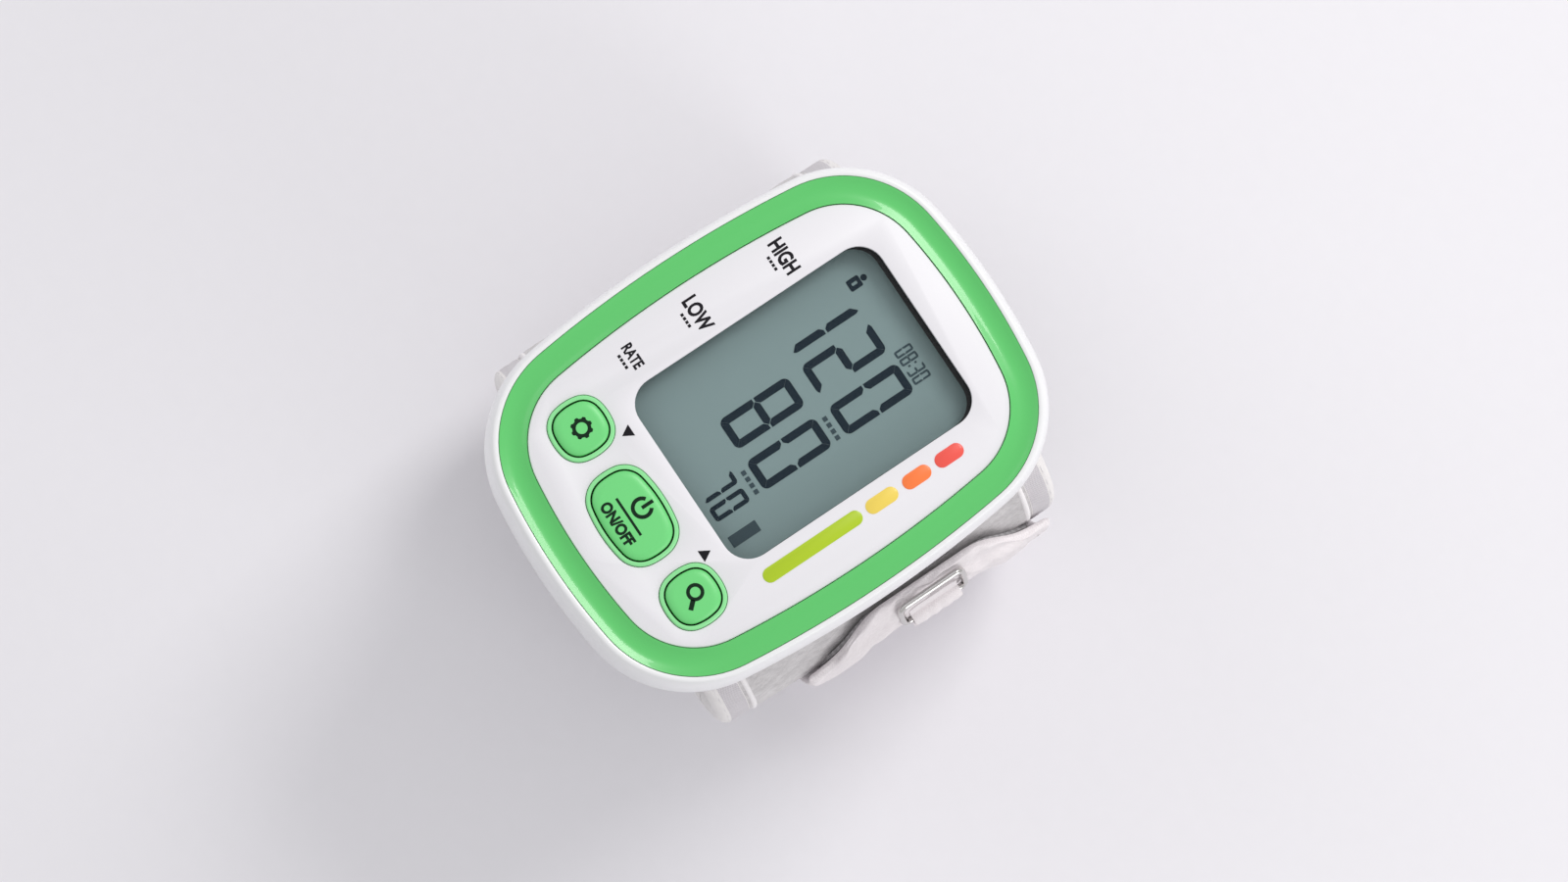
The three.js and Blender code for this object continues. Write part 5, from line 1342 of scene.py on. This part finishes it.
def buildCornerFold(name, edge, sign, endAngle, way, body):
    # Tapes meet in a folded corner that rounds off the cuff's end
    outside = tapePath(edge, sign, 0)
    hem, middle = edge - sign * tape["reach"], (endTape["outer"] + endTape["inner"]) / 2
    rings, places = [], []
    for k in range(cornerFold["steps"] + 1):
        share = k / cornerFold["steps"]
        shrink = math.sqrt(1 - (share * cornerFold["closing"]) ** 2)
        breadth = 1 - cornerFold["narrow"] * (1 - shrink)
        angle = math.radians(endAngle + way * share * (cuff["tuck"] - cornerFold["short"]))
        rings.append([softPoint(angle, hem + (y - hem) * breadth, middle + (rise - middle) * shrink)
                      for y, rise in outside])
        places += [(share * cornerFold["spread"], y, rise) for y, rise in outside]
    settle(clothLoft(name, rings, places), body, "cuff_binding")


hinge = ("monitor", "wrap", *bendSpots(cuff["hinge"], cuff["hingeOffset"]))
spans = [
    # name, family of nodes, body, start, end, length along the cuff, closed ends
    ("Body", "cuff", "monitor", cuff["flapEnd"] + cuff["tuck"], cuff["split"], 118, (True, False)),
    ("Fold", "wrap", hinge, cuff["split"], cuff["padEnd"] - cuff["tuck"], 112, (False, True)),
]
clothLow = cuff["elbow"] + cuff["bind"]
clothWidth = cuff["hand"] - cuff["elbow"] - 2 * cuff["bind"]


def spanPlace(start, end):
    return lambda s, t: (math.radians(start + (end - start) * s), clothLow + clothWidth * t)


def buildCloths(name, family, body, start, end, length, ends):
    # The outer cloth and the lining of one span
    def isHemmed(place):
        return place.z < 0 or hemShare(place.y) > 0

    def isHeld(place):
        return isHemmed(place) or min(place.x, length - place.x) < cover["seamHold"]

    def limit(place):
        angle = math.radians(start) + math.radians(end - start) * place.x / length
        if isHemmed(place) or endShare(angle, endTape["outerLeg"]) > 0:
            return airing["held"]
        return cover["least"] + cover["most"] * (1 - underUnit(angle))

    place, size = spanPlace(start, end), (length, clothWidth)
    layer = (cuff["inner"] + cuff["outer"]) / 2, cuff["outer"] - cuff["inner"]
    fabric = softPad(f"cuffCover{name}", place, size, layer, cover["counts"], "cuffCloth", cover["rim"],
                     ends, coverPuff)
    inflate(fabric, isHeld, limit)
    subdivide(fabric)
    settle(fabric, body, "cuff_fabric", f"{family}_fabric")

    inside = softPad(f"cuffLining{name}", place, size, lining["layer"], lining["counts"], "liningCloth",
                     lining["rim"], ends, liningPuff)
    subdivide(inside)
    settle(inside, body, "cuff_lining", f"{family}_lining")


def buildEdges(name, family, body, start, end):
    # Binding tape, piping cord, webbing and stitches along both edges of one span
    count = max(2, round((end - start) / sweepStep))
    angles = [math.radians(start + (end - start) * i / count) for i in range(count + 1)]
    for side, edge, sign in sides:
        folded = tapePath(edge, sign, 0) + tapePath(edge, sign, tape["thick"])[::-1]
        binding = sweepAround(f"bindingTape{side}{name}", angles, folded, "bindingTape")
        settle(binding, body, "cuff_binding", f"{family}_binding_{side.lower()}")
        cord = sweepAround(f"piping{side}{name}", angles,
                           lambda angle: pipingSection(angle, edge - sign * piping["from"]), "pipingCord")
        settle(cord, body, "cuff_binding")
        strip = webbingSection(edge - sign * webbing["from"])
        settle(sweepAround(f"webbing{side}{name}", angles, strip, "webbing"), body, "cuff_binding")
        runs = stitchesRound(start + stitch["ends"], end - stitch["ends"], edge - sign * stitch["hem"])
        stitchRow(f"stitches{side}{name}", runs, stitch["offset"], body, "cuff_binding")


def buildCuff():
    for name, family, body, start, end, length, ends in spans:
        buildCloths(name, family, body, start, end, length, ends)
        buildEdges(name, family, body, start, end)
    for part, end, way, body in (("Cuff", cuff["flapEnd"], -1, "monitor"),
                                 ("Wrap", cuff["padEnd"], 1, "wrap")):
        buildEndTape(f"endTape{part}", end, way, body)
        for side, edge, sign in sides:
            buildCornerFold(f"cornerFold{side}{part}", edge, sign, end - way * cuff["tuck"], way, body)
    for name, node, start, end, offsets, body, length in airBags:  # flat and empty inside the cuff
        layer = sum(offsets) / 2, (offsets[1] - offsets[0]) * airBag["thickShare"]
        bag = softPad(name, spanPlace(start, end), (length, clothWidth), layer, airBag["counts"],
                      "bladderFilm", airBag["rim"])
        settle(bag, body, "bladder", node)
    print("cuff made")


# Strap that closes over the cuff's right side

strap = {
    "start": 287, "lap": 318, "fold": 322, "foldFade": 5, "tip": 394, "elbow": -14.5, "hand": 35.5,
    "tipElbow": 2, "tipHand": 19, "shoulderRise": 7, "shoulderShare": 0.45, "outer": 8.2,
    "rise": 290, "rootInner": 5.0, "innerRise": 0.6, "rootThick": 0.9, "thickRise": 1.7, "hollow": 1.0,
    "wideTo": 292, "wideFade": 16, "wideShift": -12.3, "wideGrowth": 12.0,
    "length": 82, "counts": (76, 46), "rim": 1.3, "fill": 0.4, "puff": 0.3, "puffFrom": 325, "puffFade": 10,
    "waves": ((6, 0.13, 1.7, 0.5), (15, 0.35, 4.2, 0.16)), "heldLength": 40, "most": 0.6,
    "hinge": (320, 334), "hingeOffset": 6.5, "searchSteps": 30, "curveSteps": 24,
}
hookPad = {"start": 328, "end": 388, "hem": 3.5, "short": 4, "layer": (5.95, 0.66), "length": 40,
           "counts": (40, 30), "rim": 0.4, "fill": 1.0}
strapSeam = {"start": 330, "hem": 2.2, "short": 4, "proud": 0.1, "root": 289.2, "rootElbow": 3.6,
             "rootHand": 3}
creases = {"perDegree": 0.62, "from": 0.15, "span": 0.8}  # the first is millimetres of cloth to a degree
strapCreases = [
    # y and angle where a crease starts and ends, its height and half breadth
    (4, 385, -11, 352, 0.4, 1.6),
    (7, 382, -6, 338, 0.3, 1.9),
    (14, 380, 20, 336, 0.28, 1.8),
    (16, 385, 31, 350, 0.4, 1.7),
    (9, 374, 8, 345, -0.25, 2.2),
]


def halve(low, high, steps, isBelow):
    # The value between low and high up to which isBelow holds
    for _ in range(steps):
        middle = (low + high) / 2
        if isBelow(middle):
            low = middle
        else:
            high = middle
    return middle


def shoulderRise(share):
    # The shoulder's S-shaped rise from 0 to 1
    pull = strap["shoulderShare"]

    def isBelow(t):
        return 3 * pull * t * (1 - t) ** 2 + 3 * (1 - pull) * t * t * (1 - t) + t**3 < share

    return ease(halve(0.0, 1.0, strap["curveSteps"], isBelow))


def tipAngle(y):
    # How far the strap's end reaches round the cuff at a place along the cuff's axis
    top = cuffPoint(math.radians(strap["tip"]), strap["outer"]).y
    shoulder = cuffShape["sectionZ"] + strap["shoulderRise"]
    rise = 1.0
    if y > strap["tipHand"]:
        rise = shoulderRise((strap["hand"] - y) / (strap["hand"] - strap["tipHand"]))
    if y < strap["tipElbow"]:
        rise = shoulderRise((y - strap["elbow"]) / (strap["tipElbow"] - strap["elbow"]))
    z = shoulder + (top - shoulder) * rise
    return halve(strap["fold"], strap["tip"], strap["searchSteps"],
                 lambda degrees: cuffPoint(math.radians(degrees), strap["outer"]).y < z)


def strapPlace(s, t):
    y = strap["elbow"] + (strap["hand"] - strap["elbow"]) * t
    angle = strap["start"] + (tipAngle(y) - strap["start"]) * s
    wide = 1 - ease((angle - strap["wideTo"]) / strap["wideFade"])
    return math.radians(angle), y + wide * (strap["wideShift"] + strap["wideGrowth"] * t)


def strapLayer(angle):
    degrees = math.degrees(angle)
    rise = ease((degrees - strap["rise"]) / (strap["lap"] - strap["rise"]))
    hollow = strap["hollow"] * ease((degrees - strap["fold"]) / strap["foldFade"])
    inner = strap["rootInner"] + strap["innerRise"] * rise + hollow
    outer = strap["rootInner"] + strap["rootThick"] + (strap["innerRise"] + strap["thickRise"]) * rise
    return (inner + outer) / 2, strap["rootThick"] + strap["thickRise"] * rise - hollow


def creaseHeight(angle, y):
    total, perDegree = 0, creases["perDegree"]
    spot = Vector((math.degrees(angle) * perDegree, y))
    for y0, a0, y1, a1, height, breadth in strapCreases:
        first, last = Vector((a0 * perDegree, y0)), Vector((a1 * perDegree, y1))
        share = max(0, min(1, (spot - first).dot(last - first) / (last - first).length_squared))
        apart = (spot - first.lerp(last, share)).length
        along = math.sin(math.pi * (creases["from"] + creases["span"] * share))
        total += height * math.exp(-((apart / breadth) ** 2)) * along
    return total


def strapPuff(angle, y, face):
    if face < 0:
        return 0
    swell = strap["puff"] + ripples(angle, y, strap["waves"]) + creaseHeight(angle, y)
    return swell * ease((math.degrees(angle) - strap["puffFrom"]) / strap["puffFade"])


def buildStrap():
    width = strap["hand"] - strap["elbow"]
    piece = softPad("strap", strapPlace, (strap["length"], width), strapLayer, strap["counts"], "strapCloth",
                    strap["rim"], puff=strapPuff)
    inflate(piece, lambda place: place.z < 0 or place.x < strap["heldLength"],
            lambda place: strap["most"] if place.z > 0 else airing["held"])
    subdivide(piece)
    settle(piece, ("wrap", "tongue", *bendSpots(strap["hinge"], strap["hingeOffset"])), "cuff_fabric",
           "tongue_fabric")


def buildHookPad():
    width = strap["hand"] - strap["elbow"] - 2 * hookPad["hem"]

    def padPlace(s, t):
        y = strap["elbow"] + hookPad["hem"] + width * t
        last = min(tipAngle(y) - hookPad["short"], hookPad["end"])
        return math.radians(hookPad["start"] + (last - hookPad["start"]) * s), y

    pad = softPad("hookPad", padPlace, (hookPad["length"], width), hookPad["layer"], hookPad["counts"],
                  "hookTape", hookPad["rim"])
    settle(pad, "tongue", "hook_tape", "hook_pad")


def buildStrapStitches():
    for number, y in ((1, strap["elbow"] + strapSeam["hem"]), (2, strap["hand"] - strapSeam["hem"])):
        runs = stitchesRound(strapSeam["start"], tipAngle(y) - strapSeam["short"], y)
        stitchRow(f"strapStitches{number}", runs, strap["outer"] + strapSeam["proud"], "tongue",
                  "cuff_fabric")
    middle, thick = strapLayer(math.radians(strapSeam["root"]))
    runs = stitchesAcross(strapSeam["root"], cuff["elbow"] + strapSeam["rootElbow"],
                          cuff["hand"] - strapSeam["rootHand"])
    stitchRow("strapSeam", runs, middle + thick / 2, "wrap", "cuff_fabric")
    print("strap made")


pullRing = {"wire": 0.6, "wireSides": 16, "length": 13.8, "width": 7.4, "bend": 1.4, "bendSteps": 8,
            "seat": 24, "y": 10.5}
ringLoop = {"thick": 0.6, "width": 9.6, "foot": 2, "bendSteps": 10, "steps": 20, "squeeze": 0.1,
            "squeezePower": 8, "slump": 0.12, "slumpWaves": 1.9, "weave": 2}


def tipSpot(x, y, z):
    # The ring's own frame: x runs down the strap, y along the cuff's axis, z out of the strap
    angle = math.radians(pullRing["seat"])
    seat = cuffPoint(angle, strap["outer"] + fit["gap"] + pullRing["wire"])
    return (seat.x + x * math.sin(angle) + z * math.cos(angle), pullRing["y"] + y,
            seat.y - x * math.cos(angle) + z * math.sin(angle))


def buildPullRing():
    wire = pullRing["wire"]
    side, half = pullRing["width"] / 2 - wire, pullRing["length"] / 2 - wire
    path = roundedRectangle(0, 0, side, half, pullRing["bend"], pullRing["bendSteps"])
    rings = []
    for i, spot in enumerate(path):
        ahead = (path[(i + 1) % len(path)] - path[i - 1]).normalized()
        rings.append([tipSpot(spot.x + ahead.y * out, spot.y - ahead.x * out, z)
                      for out, z in circle(0, 0, wire, pullRing["wireSides"])])
    piece = loft("pullRing", rings, "ringSteel", loop=True, kind="rounded")
    settle(piece, "ring", "steel", "pull_ring")


def buildRingLoop():
    thick, low = ringLoop["thick"], -pullRing["wire"]
    inner, side = pullRing["wire"] + fit["gap"], pullRing["width"] / 2 - pullRing["wire"]
    outer = inner + thick
    reach = outer + ringLoop["foot"]

    def bend(radius):
        # Half a turn over the wire
        return [(-radius * up, radius * out) for out, up in halfRound(ringLoop["bendSteps"])]

    shape = [(-reach, low), (-inner, low), *bend(inner), (inner, low), (reach, low), (reach, low + thick)]
    shape += [*bend(outer)[::-1], (-reach, low + thick)]
    rings, places = [], []
    for k in range(ringLoop["steps"] + 1):
        share = math.sin(math.pi * (k / ringLoop["steps"] - 0.5))
        y = ringLoop["width"] / 2 * share
        squeeze = 1 - ringLoop["squeeze"] * abs(share) ** ringLoop["squeezePower"]
        slump = -ringLoop["slump"] * math.sin(k * ringLoop["slumpWaves"]) * (1 - abs(share))
        rings.append([tipSpot(side + x * squeeze, y, z * squeeze + slump * max(z, 0)) for x, z in shape])
        places += [((side + x) * ringLoop["weave"], y, z * ringLoop["weave"]) for x, z in shape]
    loop = clothLoft("ringLoop", rings, places, "strapCloth", "folded")
    settle(loop, "tongue", "cuff_binding", "ring_loop")
    print("pull ring made")


# Finishes of the inner pieces that the frame carries over

innerFinishes = {
    "darkRubber": ["lcd_connector_upper", "lcd_connector_lower"],
    "boardGreen": ["main_board"],
    "componentBlack": ["switch_settings", "switch_start", "switch_memory", "pressure_sensor"],
    "blackPlastic": ["buzzer", "pump_head"],
    "greyPlastic": ["battery_tray"],
    "cellSleeve": ["battery_outer", "battery_inner"],
    "steel": ["contact_negative", "contact_positive", "contact_bridge", "pump_motor", "valve_yoke",
              "valve_plunger", "case_screw_1", "case_screw_2", "case_screw_3", "case_screw_4"],
    "brass": ["pump_cam"],
    "copper": ["valve_coil"],
    "naturalPlastic": ["air_tee", "cuff_shell"],
    "silicone": ["hose_pump", "hose_valve", "hose_sensor"],
}


def finishInside():
    for finish, nodes in innerFinishes.items():
        for node in nodes:
            paint(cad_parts[node], finish, "solid")
    print("inner finishes set")


buildCamera()
buildLight()
buildFloor()
buildFrontShell()
buildRearShell()
buildDoor()
buildGreenRing()
buildFacePlate()
buildWindow()
buildKeyCollars()
buildKeys()
buildPanelPrint()
buildDisplay()
buildCuff()
buildStrap()
buildHookPad()
buildStrapStitches()
buildPullRing()
buildRingLoop()
finishInside()
